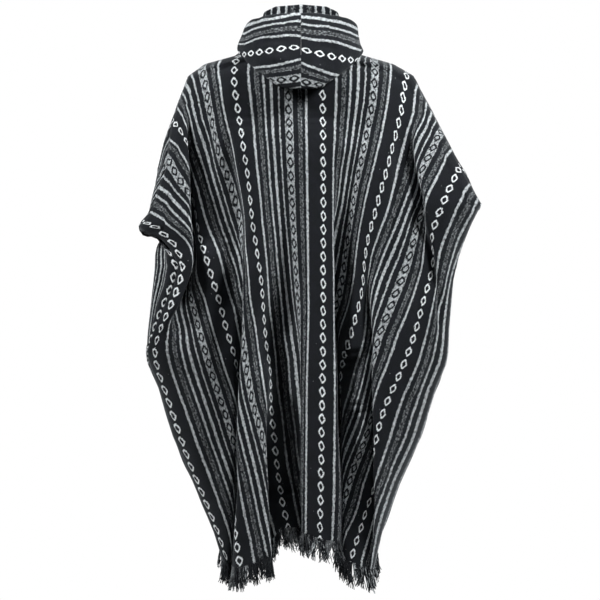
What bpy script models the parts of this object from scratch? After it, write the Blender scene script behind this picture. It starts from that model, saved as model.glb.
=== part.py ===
"""Hooded poncho, worn and empty: back and front panels, hood, neck band and fringes.

Metres, +Z up. The wearer's back faces -Y, and +X is on the right when it is seen from behind.
The origin lies between the shoulders, where the wearer carries the cloth.
Heights and places read from the photograph are in its pixels, in columns named down and across.
A warp number counts stripe repeats across the cloth, from the left selvedge to the right one.
"""

import math

import bpy
from mathutils import Vector

# Real sizes
PIXEL = 0.00217  # one photograph pixel on the back of the garment
CENTRE_ACROSS = 301.0  # photograph column of the middle of the back
SHOULDER_DOWN = 64.0  # photograph row of the shoulder line, which is height zero
STRIPE_REPEAT = 0.194  # one repeat of the stripes across the cloth
DARK_COTTON = (0.035, 0.037, 0.042)
MIXED_COTTON = (0.12, 0.12, 0.13)
WALL = 0.002  # thickness of the brushed cotton
SEAM_GAP = 0.0006  # parting of two cloth edges at a seam
SEAM_TUCK = 0.0028  # the front's seam edge lies this far in, just inside the back's wall
CUFF_TUCK = 0.0045  # the same beside the corners of the cuffs
CORNER_LIFT = 0.004  # the front's outer corners lie this much higher than the back's
FRINGE_LENGTH = 0.034
FRINGE_GAP = 0.0007  # parting of the fringe's root strip from the hem
FRINGE_STRIP = 0.006  # height of the root strip
FRINGE_UNEVEN = 0.14  # share of their length by which the strands differ
FRINGE_TAPER = 0.22  # share of a strand's width that each side loses towards its end
FRINGE_SWAY = 0.25  # how far a strand's end strays sideways, in strand widths

# The cloth's selvedges and its neck edge, in stripe repeats
LEFT_SELVEDGE = -0.12
RIGHT_SELVEDGE = 5.5
NECK_LEFT = 2.1
NECK_RIGHT = 3.3
NECK_MIDDLE = 2.745  # at centre back
NECK_DOWN = 52.0  # photograph row of the neck edge beside the shoulders
NECK_DIP_BACK = 6.0  # rows by which it dips at the back and at the front
NECK_DIP_FRONT = 20.0

# Mesh fineness
BACK_COLUMNS = 72
FRONT_COLUMNS = 36
PANEL_ROWS = 20
BACK_FRINGE_CELLS = 2  # cells of the root strip in one column of the panel, every other one a strand
FRONT_FRINGE_CELLS = 3
HOOD_TURNS = (0, 10, 20, 30, 40, 50, 60, 70, 80, 90, 104, 118)
HOOD_STEPS = 13

# Outline from behind: down, left edge across, right edge across
OUTLINE = [
    (50, 250.0, 350.0),
    (52, 248.0, 352.0),
    (58, 225.0, 373.0),
    (64, 204.0, 394.0),
    (76, 188.0, 414.0),
    (100, 179.0, 426.0),
    (124, 170.0, 439.0),
    (160, 159.0, 458.0),
    (184, 153.0, 471.0),
    (204, 149.0, 481.5),
    (214, 146.5, 476.5),
    (221, 142.0, 472.5),
    (227, 139.0, 470.0),
    (233, 144.0, 467.5),
    (240, 156.5, 465.0),
    (256, 155.0, 459.0),
    (280, 153.0, 454.0),
    (328, 147.0, 450.0),
    (352, 144.0, 449.0),
    (364, 148.0, 447.0),
    (388, 158.0, 437.0),
    (436, 172.0, 422.0),
    (484, 193.0, 400.0),
    (532, 213.0, 383.0),
    (580, 228.0, 372.0),
]

# Depth of the worn form at its middle: down, towards the back, towards the front
BODY_DEPTH = [
    (50, 0.055, 0.055),
    (58, 0.066, 0.072),
    (64, 0.085, 0.085),
    (76, 0.104, 0.102),
    (100, 0.118, 0.120),
    (150, 0.125, 0.140),
    (208, 0.120, 0.150),
    (262, 0.120, 0.150),
    (330, 0.125, 0.150),
    (400, 0.135, 0.150),
    (470, 0.145, 0.150),
    (580, 0.150, 0.150),
]

# Left edge of the back panel: down, across, warp. It is the shoulder seam, then the selvedge.
LEFT_EDGE = [
    (52, 248.0, 2.10),
    (64, 204.5, 1.62),
    (76, 188.5, 1.47),
    (88, 183.5, 1.38),
    (100, 179.5, 1.25),
    (123, 171.5, 0.97),
    (139, 168.5, 0.80),
    (153, 167.5, 0.64),
    (168, 166.0, 0.55),
    (187, 158.0, 0.41),
    (212, 150.0, 0.16),
    (222, 143.0, 0.00),
    (228, 140.0, -0.12),
    (233, 146.0, -0.12),
    (240, 160.0, -0.12),
    (250, 171.0, -0.12),
    (266, 178.5, -0.12),
    (285, 173.5, -0.12),
    (304, 165.0, -0.12),
    (325, 156.0, -0.12),
    (347, 148.0, -0.12),
    (361, 148.0, -0.12),
    (388, 158.6, -0.12),
    (436, 172.6, -0.12),
    (484, 193.6, -0.12),
    (532, 213.6, -0.12),
    (580, 228.6, -0.12),
]

# Right edge of the back panel, in the same columns
RIGHT_EDGE = [
    (52, 352.0, 3.30),
    (64, 393.5, 3.85),
    (76, 413.5, 4.08),
    (93, 422.0, 4.25),
    (111, 431.5, 4.41),
    (130, 442.0, 4.60),
    (149, 452.0, 4.80),
    (166, 460.5, 5.00),
    (184, 470.5, 5.16),
    (199, 478.5, 5.33),
    (209, 478.5, 5.50),
    (221, 472.0, 5.50),
    (240, 464.5, 5.50),
    (256, 458.5, 5.50),
    (280, 453.5, 5.50),
    (328, 449.5, 5.50),
    (352, 448.5, 5.50),
    (364, 446.5, 5.50),
    (388, 436.5, 5.50),
    (436, 421.5, 5.50),
    (484, 399.5, 5.50),
    (532, 382.5, 5.50),
    (580, 371.5, 5.50),
]

# Folds of the back. Each row: down, edge across, warp at the left of the edge, warp at its right.
# over is the side whose cloth lies in front. lift and step are how far the front cloth stands
# proud of the worn form and how far the cloth behind it lies in.
FOLDS = {
    "left_armpit": {
        "over": "left",
        "lift": 0.014,
        "step": 0.040,
        "rows": [
            (99, 188.5, 1.390, 1.420),
            (124, 189.0, 1.180, 1.325),
            (153, 190.0, 0.900, 1.250),
            (174, 190.5, 0.730, 1.160),
            (208, 192.5, 0.495, 1.060),
            (229, 194.5, 0.370, 1.000),
            (244, 195.0, 0.250, 0.930),
            (262, 195.0, 0.140, 0.840),
            (280, 190.5, 0.100, 0.760),
            (298, 184.0, 0.080, 0.530),
            (308, 178.0, 0.070, 0.410),
            (319, 170.0, 0.060, 0.250),
            (329, 164.5, 0.040, 0.160),
            (345, 153.0, 0.000, 0.060),
        ],
    },
    "left_crease": {
        "over": "right",
        "lift": 0.010,
        "step": 0.022,
        "rows": [
            (233, 244.5, 1.570, 1.620),
            (283, 241.5, 1.300, 1.630),
            (329, 241.0, 1.160, 1.600),
            (365, 239.0, 1.000, 1.520),
            (400, 238.0, 0.800, 1.410),
            (445, 236.5, 0.600, 1.260),
            (487, 236.5, 0.420, 1.130),
            (507, 235.5, 0.325, 1.070),
            (540, 233.5, 0.160, 0.970),
            (580, 231.0, 0.060, 0.880),
        ],
    },
    "pleat_edge": {
        "over": "left",
        "lift": 0.010,
        "step": 0.050,
        "rows": [
            (350, 267.5, 1.970, 2.000),
            (376, 268.0, 1.900, 2.000),
            (400, 268.0, 1.830, 1.970),
            (421, 268.0, 1.727, 1.950),
            (459, 268.0, 1.600, 1.920),
            (505, 269.5, 1.495, 1.850),
            (580, 274.0, 1.330, 1.650),
        ],
    },
    "centre_left": {
        "over": "right",
        "lift": 0.006,
        "step": 0.042,
        "rows": [
            (300, 299.0, 2.570, 2.630),
            (351, 299.0, 2.450, 2.620),
            (415, 299.5, 2.400, 2.660),
            (453, 300.0, 2.350, 2.680),
            (499, 300.0, 2.220, 2.700),
            (580, 302.0, 2.000, 2.760),
        ],
    },
    "centre_right": {
        "over": "left",
        "lift": 0.006,
        "step": 0.055,
        "rows": [
            (140, 334.0, 3.170, 3.200),
            (194, 334.0, 3.180, 3.270),
            (229, 334.5, 3.180, 3.400),
            (300, 335.5, 3.180, 3.580),
            (345, 337.0, 3.190, 3.920),
            (408, 339.0, 3.210, 4.120),
            (453, 340.0, 3.230, 4.380),
            (496, 341.0, 3.250, 4.570),
            (540, 341.0, 3.280, 4.800),
            (580, 342.0, 3.280, 4.950),
        ],
    },
    "right_ridge": {
        "over": "right",
        "lift": 0.010,
        "step": 0.024,
        "rows": [
            (330, 371.0, 4.240, 4.340),
            (351, 371.0, 4.330, 4.550),
            (389, 371.0, 4.470, 4.720),
            (438, 372.5, 4.660, 4.960),
            (478, 372.5, 4.870, 5.120),
            (506, 372.5, 5.050, 5.270),
            (533, 372.5, 5.170, 5.340),
            (580, 369.0, 5.300, 5.420),
        ],
    },
    "right_armpit": {
        "over": "right",
        "lift": 0.012,
        "step": 0.030,
        "rows": [
            (112, 413.5, 4.200, 4.250),
            (148, 413.5, 4.240, 4.400),
            (181, 416.5, 4.350, 4.600),
            (196, 420.0, 4.400, 4.727),
            (209, 422.7, 4.480, 4.800),
            (241, 429.5, 4.750, 5.000),
            (262, 436.0, 4.960, 5.150),
            (290, 436.8, 5.100, 5.200),
            (311, 434.0, 5.140, 5.200),
        ],
    },
}

# Stripe lines that show on the back: warp, then down and across for each point along the line
STRIPE_LINES = [
    (0.00, [(233, 169), (244, 173), (255, 179), (267, 182), (285, 177), (305, 170), (327, 160),
            (349, 153), (372, 157), (405, 169), (446, 182), (491, 200), (533, 217), (580, 234)]),
    (0.16, [(340, 165), (367, 170), (487, 213), (530, 229)]),
    (0.60, [(300, 191), (337, 201), (367, 210), (435, 232)]),
    (1.00, [(237, 199), (263, 207), (297, 218), (329, 226), (358, 236)]),
    (1.16, [(182, 196), (223, 206), (250, 218), (283, 226), (318, 238)]),
    (1.41, [(104, 190), (133, 201), (160, 208), (202, 220), (228, 228)]),
    (1.60, [(72, 203), (103, 208), (138, 215), (187, 231), (226, 239)]),
    (1.80, [(65, 217), (113, 224), (149, 232), (208, 242), (304, 250), (332, 256), (364, 261),
            (408, 267)]),
    (2.00, [(62, 234), (90, 234), (119, 239), (174, 247), (227, 253), (281, 262), (345, 267)]),
    (2.16, [(62, 246), (107, 252), (159, 256), (236, 264), (300, 269), (389, 278), (466, 288), (490, 293)]),
    (2.41, [(62, 270), (124, 272), (180, 276), (229, 280), (300, 287), (351, 292), (400, 296)]),
    (2.80, [(62, 306), (92, 306), (312, 308), (389, 306), (580, 305)]),
    (3.00, [(62, 322), (92, 322.5), (190, 324), (350, 323), (500, 320.5), (580, 319.5)]),
    (3.60, [(64, 376), (99, 373), (152, 363), (194, 354), (229, 349), (285, 342)]),
    (4.00, [(80, 405), (108, 402), (135, 396), (186, 381), (237, 368), (260, 365), (289, 363),
            (316, 356), (338, 349)]),
    (4.16, [(111, 415), (132, 407), (184, 395), (210, 388), (238, 375), (261, 368), (300, 369),
            (345, 363), (376, 353), (398, 348)]),
    (4.495, [(405, 368), (428, 362), (453, 352), (462, 348)]),
    (4.60, [(241, 414), (261, 409), (283, 399), (306, 393), (331, 381), (346, 376)]),
    (4.80, [(486, 363), (515, 356), (530, 348)]),
    (5.00, [(171, 458), (193, 447), (217, 437), (235, 432)]),
    (5.00, [(272, 431), (293, 426), (330, 417), (354, 408), (378, 398), (401, 387), (424, 379),
            (436, 376)]),
    (5.00, [(508, 366), (528, 361), (552, 353), (562, 349)]),
]

# Broad swells of the back between its folds: warp, then down and height over the worn form
SWELLS = [
    (1.45, [(90, 0.000), (150, -0.012), (208, -0.024), (260, -0.022), (300, -0.010)]),
    (2.05, [(120, 0.002), (208, 0.008), (340, 0.008)]),
    (2.45, [(120, -0.002), (208, -0.008), (300, -0.022), (340, -0.030)]),
    (2.75, [(120, 0.002), (300, 0.006)]),
    (3.45, [(80, 0.000), (135, -0.008)]),
    (3.90, [(120, 0.000), (198, 0.006), (320, 0.000)]),
    (4.17, [(240, 0.006), (300, 0.008), (325, 0.008)]),
]

# Hem of the back panel: warp, down
BACK_HEM = [
    (-0.12, 563.0),
    (0.22, 563.0),
    (1.00, 568.0),
    (1.22, 562.0),
    (1.30, 557.0),
    (1.55, 557.0),
    (1.90, 528.0),
    (2.55, 528.0),
    (2.80, 534.0),
    (3.05, 541.0),
    (3.40, 541.0),
    (4.00, 546.0),
    (4.90, 560.0),
    (5.30, 570.0),
    (5.50, 570.0),
]

# Hem of the front panel: warp, down
FRONT_HEM = [(-0.12, 563.0), (0.60, 545.0), (2.70, 538.0), (4.80, 546.0), (5.50, 570.0)]

# Opening of the cuffs: down, how far the front selvedge stands off round the form, in degrees
LEFT_CUFF = [(228, 0.0), (234, 30.0), (246, 27.0), (258, 10.0), (268, 0.0)]
RIGHT_CUFF = [(209, 0.0), (214, 22.0), (230, 40.0), (250, 42.0), (270, 28.0), (288, 0.0)]

LEFT_CORNER = 236  # photograph rows of the cuffs' outer corners
RIGHT_CORNER = 210
CORNER_REACH = 0.045
CUFF_REACH = 0.16  # share of the front's width that an open cuff draws forward
SUPERELLIPSE = 2.2  # roundness of the worn form's section

# A fold's hidden cloth: two legs that turn inside, at a rounded edge
POCKET_DEPTH = 0.115  # deepest that the turn lies behind the front cloth
POCKET_TURN = ((-0.05, -0.010), (0.05, -0.001))  # shift along the cloth, and sideways from the edge
UNDERLAP = 0.004  # how far the cloth behind starts under the front cloth's edge
SHALLOW = 0.020  # hidden cloth under this length only steps down
OPENS_OVER = 0.030  # growth of hidden cloth over which a step becomes a pocket
SMOOTH_DOWN = 8.0  # reach of the average down the cloth, in photograph rows
CREASE_ROUND = ((-0.06, 1), (-0.04, 2), (-0.02, 3), (0.0, 4), (0.02, 3), (0.04, 2), (0.06, 1))

# Ripples of the front panel
FRONT_FOLDS = 6.5  # across the front
RIPPLE_DEPTH = 0.032  # greatest depth
RIPPLE_EDGE = 0.08  # share of the width over which they fade to the side seams
RIPPLE_UNEVEN = 0.03  # share of the width by which they crowd to one side
RIPPLE_DRIFT = 0.012  # share of the width by which they wander down the cloth

# Hood sections: turn from centre back in degrees, then for each point round the roll its
# sideways reach, its backward reach and its height in the photograph
HOOD_POINTS = ("fall", "tip", "swell", "cheek", "lip", "hem")
HOOD_SECTIONS = [
    (0, {"fall": (0.116, 0.130, 73.0), "tip": (0.120, 0.158, 90.0), "swell": (0.128, 0.164, 70.0),
         "cheek": (0.124, 0.150, 40.0), "lip": (0.112, 0.122, 13.0), "hem": (0.100, 0.100, 19.0)}),
    (22, {"fall": (0.120, 0.132, 71.0), "tip": (0.124, 0.163, 87.0), "swell": (0.130, 0.168, 68.0),
          "cheek": (0.125, 0.152, 39.0), "lip": (0.112, 0.122, 14.0), "hem": (0.100, 0.100, 20.0)}),
    (42, {"fall": (0.126, 0.136, 62.0), "tip": (0.128, 0.168, 74.0), "swell": (0.132, 0.170, 61.0),
          "cheek": (0.126, 0.154, 38.0), "lip": (0.113, 0.122, 16.0), "hem": (0.100, 0.100, 22.0)}),
    (68, {"fall": (0.132, 0.134, 51.0), "tip": (0.137, 0.160, 57.0), "swell": (0.137, 0.162, 51.0),
          "cheek": (0.129, 0.150, 36.0), "lip": (0.116, 0.120, 20.0), "hem": (0.102, 0.100, 26.0)}),
    (90, {"fall": (0.131, 0.120, 48.0), "tip": (0.138, 0.140, 49.0), "swell": (0.137, 0.140, 44.0),
          "cheek": (0.129, 0.130, 35.0), "lip": (0.118, 0.118, 26.0), "hem": (0.105, 0.104, 32.0)}),
    (118, {"fall": (0.134, 0.166, 59.0), "tip": (0.140, 0.172, 57.0), "swell": (0.140, 0.170, 50.0),
           "cheek": (0.134, 0.160, 41.0), "lip": (0.122, 0.142, 31.0), "hem": (0.114, 0.130, 37.0)}),
]

# Top of the front neck band: turn from centre back in degrees, sideways and forward reach, and
# height in the photograph
BAND_TOP = [
    (122, 0.110, 0.122, 32.0),
    (130, 0.104, 0.110, 14.0),
    (145, 0.096, 0.102, 9.0),
    (180, 0.092, 0.098, 4.0),
]
SEAM_RISE = 0.0019  # the hood and the band stand this much over the panels' neck edge
BAND_COLUMNS = 10
BAND_ROWS = 6


def table(rows, key, column=1):
    """Reads a column of a table at a key, in straight steps between its rows."""
    if key <= rows[0][0]:
        return rows[0][column]
    for low, high in zip(rows, rows[1:]):
        if key <= high[0]:
            share = (key - low[0]) / (high[0] - low[0])
            return low[column] + share * (high[column] - low[column])
    return rows[-1][column]


def side(across):
    """Turns a photograph column into metres from the middle of the back."""
    return (across - CENTRE_ACROSS) * PIXEL


def height(down):
    """Turns a photograph row into metres above the shoulder line."""
    return (SHOULDER_DOWN - down) * PIXEL


def half_width(down, across_side):
    """The worn form's reach to one side at a height."""
    column = 1 if across_side < 0 else 2
    return abs(side(table(OUTLINE, down, column)))


def form_depth(x, down, column=1):
    """How far the smooth worn form lies behind (column 1) or before (column 2) its middle."""
    share = min(1.0, abs(x) / half_width(down, x))
    return table(BODY_DEPTH, down, column) * (1 - share**SUPERELLIPSE) ** (1 / SUPERELLIPSE)


def fold_points(fold, down):
    """A fold's cloth at a height: warp, x and height over the form for each of its points."""
    rows = fold["rows"]
    if not rows[0][0] <= down <= rows[-1][0]:
        return []
    edge = side(table(rows, down, 1))
    left_warp = table(rows, down, 2)
    right_warp = table(rows, down, 3)
    hidden = (right_warp - left_warp) * STRIPE_REPEAT
    inward = 1 if fold["over"] == "left" else -1
    front_warp, rear_warp = (left_warp, right_warp) if inward == 1 else (right_warp, left_warp)
    lift = fold["lift"] * min(1.0, hidden / (SHALLOW + OPENS_OVER))
    drop = min(fold["step"], 0.8 * hidden)
    pocket = lift - min(POCKET_DEPTH, (hidden + drop) / 2)
    opened = min(1.0, max(0.0, (hidden - SHALLOW) / OPENS_OVER))
    turn = (hidden + drop) / 2 / hidden
    points = [(front_warp, edge, lift)]
    for nudge, reach in POCKET_TURN:
        share = turn + nudge if opened > 0 else 0.5 + nudge
        flat = edge + inward * share * UNDERLAP
        x = flat + opened * (edge + inward * reach - flat)
        over = (1 - opened) * (lift - share * drop) + opened * pocket
        points.append((front_warp + share * (rear_warp - front_warp), x, over))
    points.append((rear_warp, edge + inward * UNDERLAP, lift - drop))
    return points if inward == 1 else points[::-1]


def back_section(down):
    """The back panel's section at a height, as warp, x and depth, from left edge to right edge."""
    left = (table(LEFT_EDGE, down, 2), side(table(LEFT_EDGE, down, 1)), 0.0)
    right = (table(RIGHT_EDGE, down, 2), side(table(RIGHT_EDGE, down, 1)), 0.0)
    folds = [points for points in (fold_points(fold, down) for fold in FOLDS.values()) if points]
    laid = [left, right]
    hidden = [(LEFT_SELVEDGE - 1, left[0] + 0.05), (right[0] - 0.05, RIGHT_SELVEDGE + 1)]
    for points in folds:
        if points[0][0] > left[0] + 0.02 and points[-1][0] < right[0] - 0.02:
            laid += points
            hidden.append((points[0][0] - 0.04, points[-1][0] + 0.04))
    laid.sort()
    marks = list(laid)
    for warp, rows in SWELLS:
        if rows[0][0] <= down <= rows[-1][0] and not any(a < warp < b for a, b in hidden):
            marks.append((warp, None, table(rows, down)))
    marks.sort(key=lambda mark: mark[0])
    lines = list(laid)
    for warp, rows in STRIPE_LINES:
        if rows[0][0] <= down <= rows[-1][0] and not any(a < warp < b for a, b in hidden):
            lines.append((warp, side(table(rows, down)), None))
    lines.sort(key=lambda line: line[0])
    return [(warp, x) for warp, x, _ in lines], [(warp, over) for warp, _, over in marks]


def back_point_raw(section, warp, down):
    """A point of the back panel before its creases are rounded: x and depth."""
    lines, marks = section
    first, last = lines[0][0], lines[-1][0]
    inside = min(last, max(first, warp))
    x = table(lines, inside)
    depth = form_depth(x, down) + table(marks, inside)
    return x, depth


def back_point(warp, down):
    """A point of the back panel, its creases rounded by averages along and down the cloth."""
    climb = SMOOTH_DOWN * min(1.0, (down - top_down(warp)) / SMOOTH_DOWN)
    total = x = depth = 0.0
    for rise, rise_weight in ((-climb, 1), (0.0, 2), (climb, 1)):
        section = back_section(down + rise)
        first, last = section[0][0][0], section[0][-1][0]
        room = max(0.0, min(1.0, min(warp - first, last - warp) / CREASE_ROUND[-1][0]))
        weight_here = rise_weight * room if rise else rise_weight
        for shift, weight in CREASE_ROUND:
            one_x, one_depth = back_point_raw(section, warp + shift * room, down + rise)
            x += one_x * weight * weight_here
            depth += one_depth * weight * weight_here
            total += weight * weight_here
    return x / total, -depth / total, height(down)


def top_down(warp):
    """Photograph row of the back panel's top edge at a warp: shoulder seam, neck, shoulder seam."""
    if warp < NECK_LEFT:
        rows = [(edge_warp, down) for down, _, edge_warp in reversed(LEFT_EDGE[:13])]
        return table(rows, warp)
    if warp > NECK_RIGHT:
        rows = [(edge_warp, down) for down, _, edge_warp in RIGHT_EDGE[:11]]
        return table(rows, warp)
    share = (warp - NECK_LEFT) / (NECK_RIGHT - NECK_LEFT)
    return NECK_DOWN + NECK_DIP_BACK * math.sin(math.pi * share)


def turn_of_edge(down, rows, across_side):
    """Turn round the form of a side seam, in degrees from the front's middle."""
    reach = min(1.0, abs(side(table(rows, down, 1))) / half_width(down, across_side))
    return 180.0 - math.degrees(math.asin(reach))


def cuff_shift(rows, down, share):
    """How far round an open cuff draws the front's edge forward, in degrees."""
    if share > CUFF_REACH:
        return 0.0
    return table(rows, down) * (1 - share / CUFF_REACH) ** 2


def front_point(warp, down):
    """A point of the front panel: an even spread round the form, with soft ripples."""
    left = table(LEFT_EDGE, down, 2)
    right = table(RIGHT_EDGE, down, 2)
    share = min(1.0, max(0.0, (warp - left) / (right - left)))
    start = -turn_of_edge(down, LEFT_EDGE, -1)
    end = turn_of_edge(down, RIGHT_EDGE, 1)
    turn = start + share * (end - start)
    turn += cuff_shift(LEFT_CUFF, down, share) - cuff_shift(RIGHT_CUFF, down, 1 - share)
    turn = math.radians(turn)
    reach = half_width(down, math.sin(turn))
    depth = table(BODY_DEPTH, down, 2)
    run = math.radians(end - start) * math.hypot(reach, depth) / math.sqrt(2)
    spare = max(0.0, ((right - left) * STRIPE_REPEAT / run) ** 2 - 1)
    fit = run / FRONT_FOLDS / (2 * math.pi) * math.sqrt(2 * spare)
    phase = share + RIPPLE_UNEVEN * math.sin(2 * math.pi * share) + RIPPLE_DRIFT * math.sin(down / 40)
    wave = 0.5 - 0.5 * math.cos(2 * math.pi * FRONT_FOLDS * phase)
    inward = min(RIPPLE_DEPTH, 0.8 * fit) * wave * min(1.0, min(share, 1 - share) / RIPPLE_EDGE)
    x = math.sin(turn) * reach
    front = math.cos(turn) > 0
    y = form_depth(x, down, 2) if front else -form_depth(x, down, 1)
    return x - math.sin(turn) * inward, y - math.cos(turn) * inward, height(down)


def front_top(warp):
    """Photograph row of the front panel's top edge at a warp."""
    if NECK_LEFT < warp < NECK_RIGHT:
        share = (warp - NECK_LEFT) / (NECK_RIGHT - NECK_LEFT)
        return NECK_DOWN + NECK_DIP_FRONT * math.sin(math.pi * share) ** 0.8
    return top_down(warp)


def spread(low, high, count, stops):
    """Even steps from low to high, with the nearest steps moved onto the stops."""
    values = [low + (high - low) * step / count for step in range(count + 1)]
    for stop in stops:
        nearest = min(range(len(values)), key=lambda index: abs(values[index] - stop))
        values[nearest] = stop
    return values


def cloth(name, grid, colour):
    """Makes a panel of cloth from rows of points."""
    columns = len(grid[0])
    points = [point for row in grid for point in row]
    faces = []
    for row in range(len(grid) - 1):
        for column in range(columns - 1):
            corner = row * columns + column
            faces.append((corner, corner + columns, corner + columns + 1, corner + 1))
    return cloth_from(name, points, faces, colour)


def cloth_from(name, points, faces, colour):
    """An open surface with the cloth's wall added inward."""
    mesh = bpy.data.meshes.new(name)
    mesh.from_pydata(points, [], faces)
    mesh.shade_smooth()
    mesh.materials.append(fabric(name, colour))
    panel = bpy.data.objects.new(name, mesh)
    PARTS.objects.link(panel)
    wall = panel.modifiers.new("wall", "SOLIDIFY")
    wall.thickness = WALL
    wall.offset = -1
    return panel


def fabric(name, colour):
    """A rough cotton with the part's main colour."""
    material = bpy.data.materials.new(name + "_cotton")
    material.use_nodes = True
    shader = material.node_tree.nodes["Principled BSDF"]
    shader.inputs["Base Color"].default_value = (*colour, 1.0)
    shader.inputs["Roughness"].default_value = 0.95
    shader.inputs["Metallic"].default_value = 0.0
    return material


def seam_rows(top, hem, rows):
    """Photograph rows down one warp, from just under the top seam to the hem."""
    start = top + SEAM_GAP / 2 / PIXEL
    return [start + (hem - start) * row / rows for row in range(rows + 1)]


def edge_warps(warps):
    """Keeps the outer warps clear of the side seams by half the seam gap."""
    trim = SEAM_GAP / 2 / STRIPE_REPEAT
    return [warps[0] + trim, *warps[1:-1], warps[-1] - trim]


def panel_warps(columns):
    """Warps of a panel's columns, the same at the neck's ends on both panels."""
    warps = spread(LEFT_SELVEDGE, RIGHT_SELVEDGE, columns, (NECK_LEFT, NECK_RIGHT))
    return edge_warps(warps)


def panel_grid(point, top, hem, warps):
    """Rows of points down a panel, from just under its top edge to its hem."""
    lines = [seam_rows(top(warp), table(hem, warp), PANEL_ROWS) for warp in warps]
    return [
        [point(warp, line[row]) for warp, line in zip(warps, lines)]
        for row in range(PANEL_ROWS + 1)]


def back_grid():
    """The back panel's points. Between the front's columns its top edge runs straight."""
    warps = panel_warps(FRONT_COLUMNS)
    halves = BACK_COLUMNS // FRONT_COLUMNS
    fine = []
    for low, high in zip(warps, warps[1:]):
        fine += [low + (high - low) * part / halves for part in range(halves)]
    fine.append(warps[-1])
    grid = panel_grid(back_point, top_down, BACK_HEM, fine)
    top = grid[0]
    for index in range(1, len(fine), halves):
        top[index] = [(low + high) / 2 for low, high in zip(top[index - 1], top[index + 1])]
    return grid


def front_grid(behind):
    """The front panel's points, its seam edges tucked in by a wall's thickness."""
    warps = panel_warps(FRONT_COLUMNS)
    grid = panel_grid(front_point, front_top, FRONT_HEM, warps)
    inner = [list(row) for row in grid]
    last = len(warps) - 1
    for row in range(PANEL_ROWS + 1):
        for column in (0, last):
            inner[row][column] = tucked(grid, behind, row, column)
    for column, warp in enumerate(warps):
        if not NECK_LEFT + 0.02 < warp < NECK_RIGHT - 0.02:
            inner[0][column] = tucked(grid, behind, 0, column)
    return inner


def tucked(grid, behind, row, column):
    """A seam point moved in along the normal that both panels share there."""
    last = len(grid[0]) - 1
    fine = column * (BACK_COLUMNS // FRONT_COLUMNS)
    if column in (0, last) and row > 0:
        step = 1 if column == 0 else -1
        along = subtract(grid[min(row + 1, PANEL_ROWS)][column], grid[row - 1][column])
        across = subtract(grid[row][column + step], behind[row][fine + step])
    else:
        along = subtract(grid[0][min(column + 1, last)], grid[0][max(column - 1, 0)])
        across = subtract(grid[1][column], behind[1][fine])
    normal = Vector(along).cross(Vector(across)).normalized()
    point = Vector(grid[row][column])
    middle = Vector((0.0, 0.0, point.z - 0.1))
    if normal.dot(point - middle) < 0:
        normal = -normal
    corner = height(LEFT_CORNER if point.x < 0 else RIGHT_CORNER)
    tuck = CUFF_TUCK if abs(point.z - corner) < CORNER_REACH else SEAM_TUCK
    lift = CORNER_LIFT if row == 0 and column in (0, last) else 0.0
    return tuple(point - normal * tuck + Vector((0, 0, lift)))


def subtract(first, second):
    """The step from the second point to the first."""
    return [a - b for a, b in zip(first, second)]


def curve_point(points, share):
    """A point on a smooth curve through a list of points."""
    place = share * (len(points) - 1)
    index = min(int(place), len(points) - 2)
    part = place - index
    before = points[max(index - 1, 0)]
    start = points[index]
    end = points[index + 1]
    after = points[min(index + 2, len(points) - 1)]
    result = []
    for a, b, c, d in zip(before, start, end, after):
        slope_in = (c - a) / 2
        slope_out = (d - b) / 2
        cube = 2 * b - 2 * c + slope_in + slope_out
        square = 3 * c - 3 * b - 2 * slope_in - slope_out
        result.append(((cube * part + square) * part + slope_in) * part + b)
    return result


def neck_point(turn, mirror):
    """A point just over the panels' neck edge, at a turn from centre back."""
    end = NECK_LEFT if mirror < 0 else NECK_RIGHT
    if turn <= 90:
        middle, place = back_point(NECK_MIDDLE, top_down(NECK_MIDDLE)), turn / 90
        warp = NECK_MIDDLE + (end - NECK_MIDDLE) * place
        x, y, z = back_point(warp, top_down(warp))
    else:
        middle, place = front_point(NECK_MIDDLE, front_top(NECK_MIDDLE)), (180 - turn) / 90
        warp = NECK_MIDDLE + (end - NECK_MIDDLE) * place
        x, y, z = front_point(warp, front_top(warp))
    return x - middle[0] * (1 - place), y, z + SEAM_RISE


def ring_point(turn, mirror, wide, deep, down):
    """A point at a turn round the neck, from its reach sideways and backward."""
    angle = math.radians(turn)
    return mirror * math.sin(angle) * wide, -math.cos(angle) * deep, height(down)


def part_halves(points, mirror):
    """Moves a half clear of the seam that it shares with the other half."""
    return [(x + mirror * SEAM_GAP / 2, y, z) for x, y, z in points]


def hood_half(name, mirror):
    """One half of the hood, lying down the back, from the centre seam to the front of the neck."""
    rings = []
    for turn in HOOD_TURNS:
        profile = [neck_point(turn, mirror)]
        for point in HOOD_POINTS:
            wide, deep, down = (
                table([(angle, section[point][item]) for angle, section in HOOD_SECTIONS], turn)
                for item in range(3))
            profile.append(ring_point(turn, mirror, wide, deep, down))
        ring = [curve_point(profile, step / HOOD_STEPS) for step in range(HOOD_STEPS + 1)]
        rings.append(part_halves(ring, mirror))
    return cloth(name, rings if mirror > 0 else rings[::-1], DARK_COTTON)


def band_half(name, mirror):
    """One half of the upright band round the front of the neck."""
    first, last = BAND_TOP[0][0], BAND_TOP[-1][0]
    rings = []
    for column in range(BAND_COLUMNS + 1):
        turn = first + (last - first) * column / BAND_COLUMNS
        foot = neck_point(turn, mirror)
        top = ring_point(turn, mirror, *(table(BAND_TOP, turn, item) for item in (1, 2, 3)))
        ring = [
            [low + (high - low) * step / BAND_ROWS for low, high in zip(foot, top)]
            for step in range(BAND_ROWS + 1)]
        rings.append(part_halves(ring, mirror))
    return cloth(name, rings if mirror > 0 else rings[::-1], DARK_COTTON)


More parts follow.
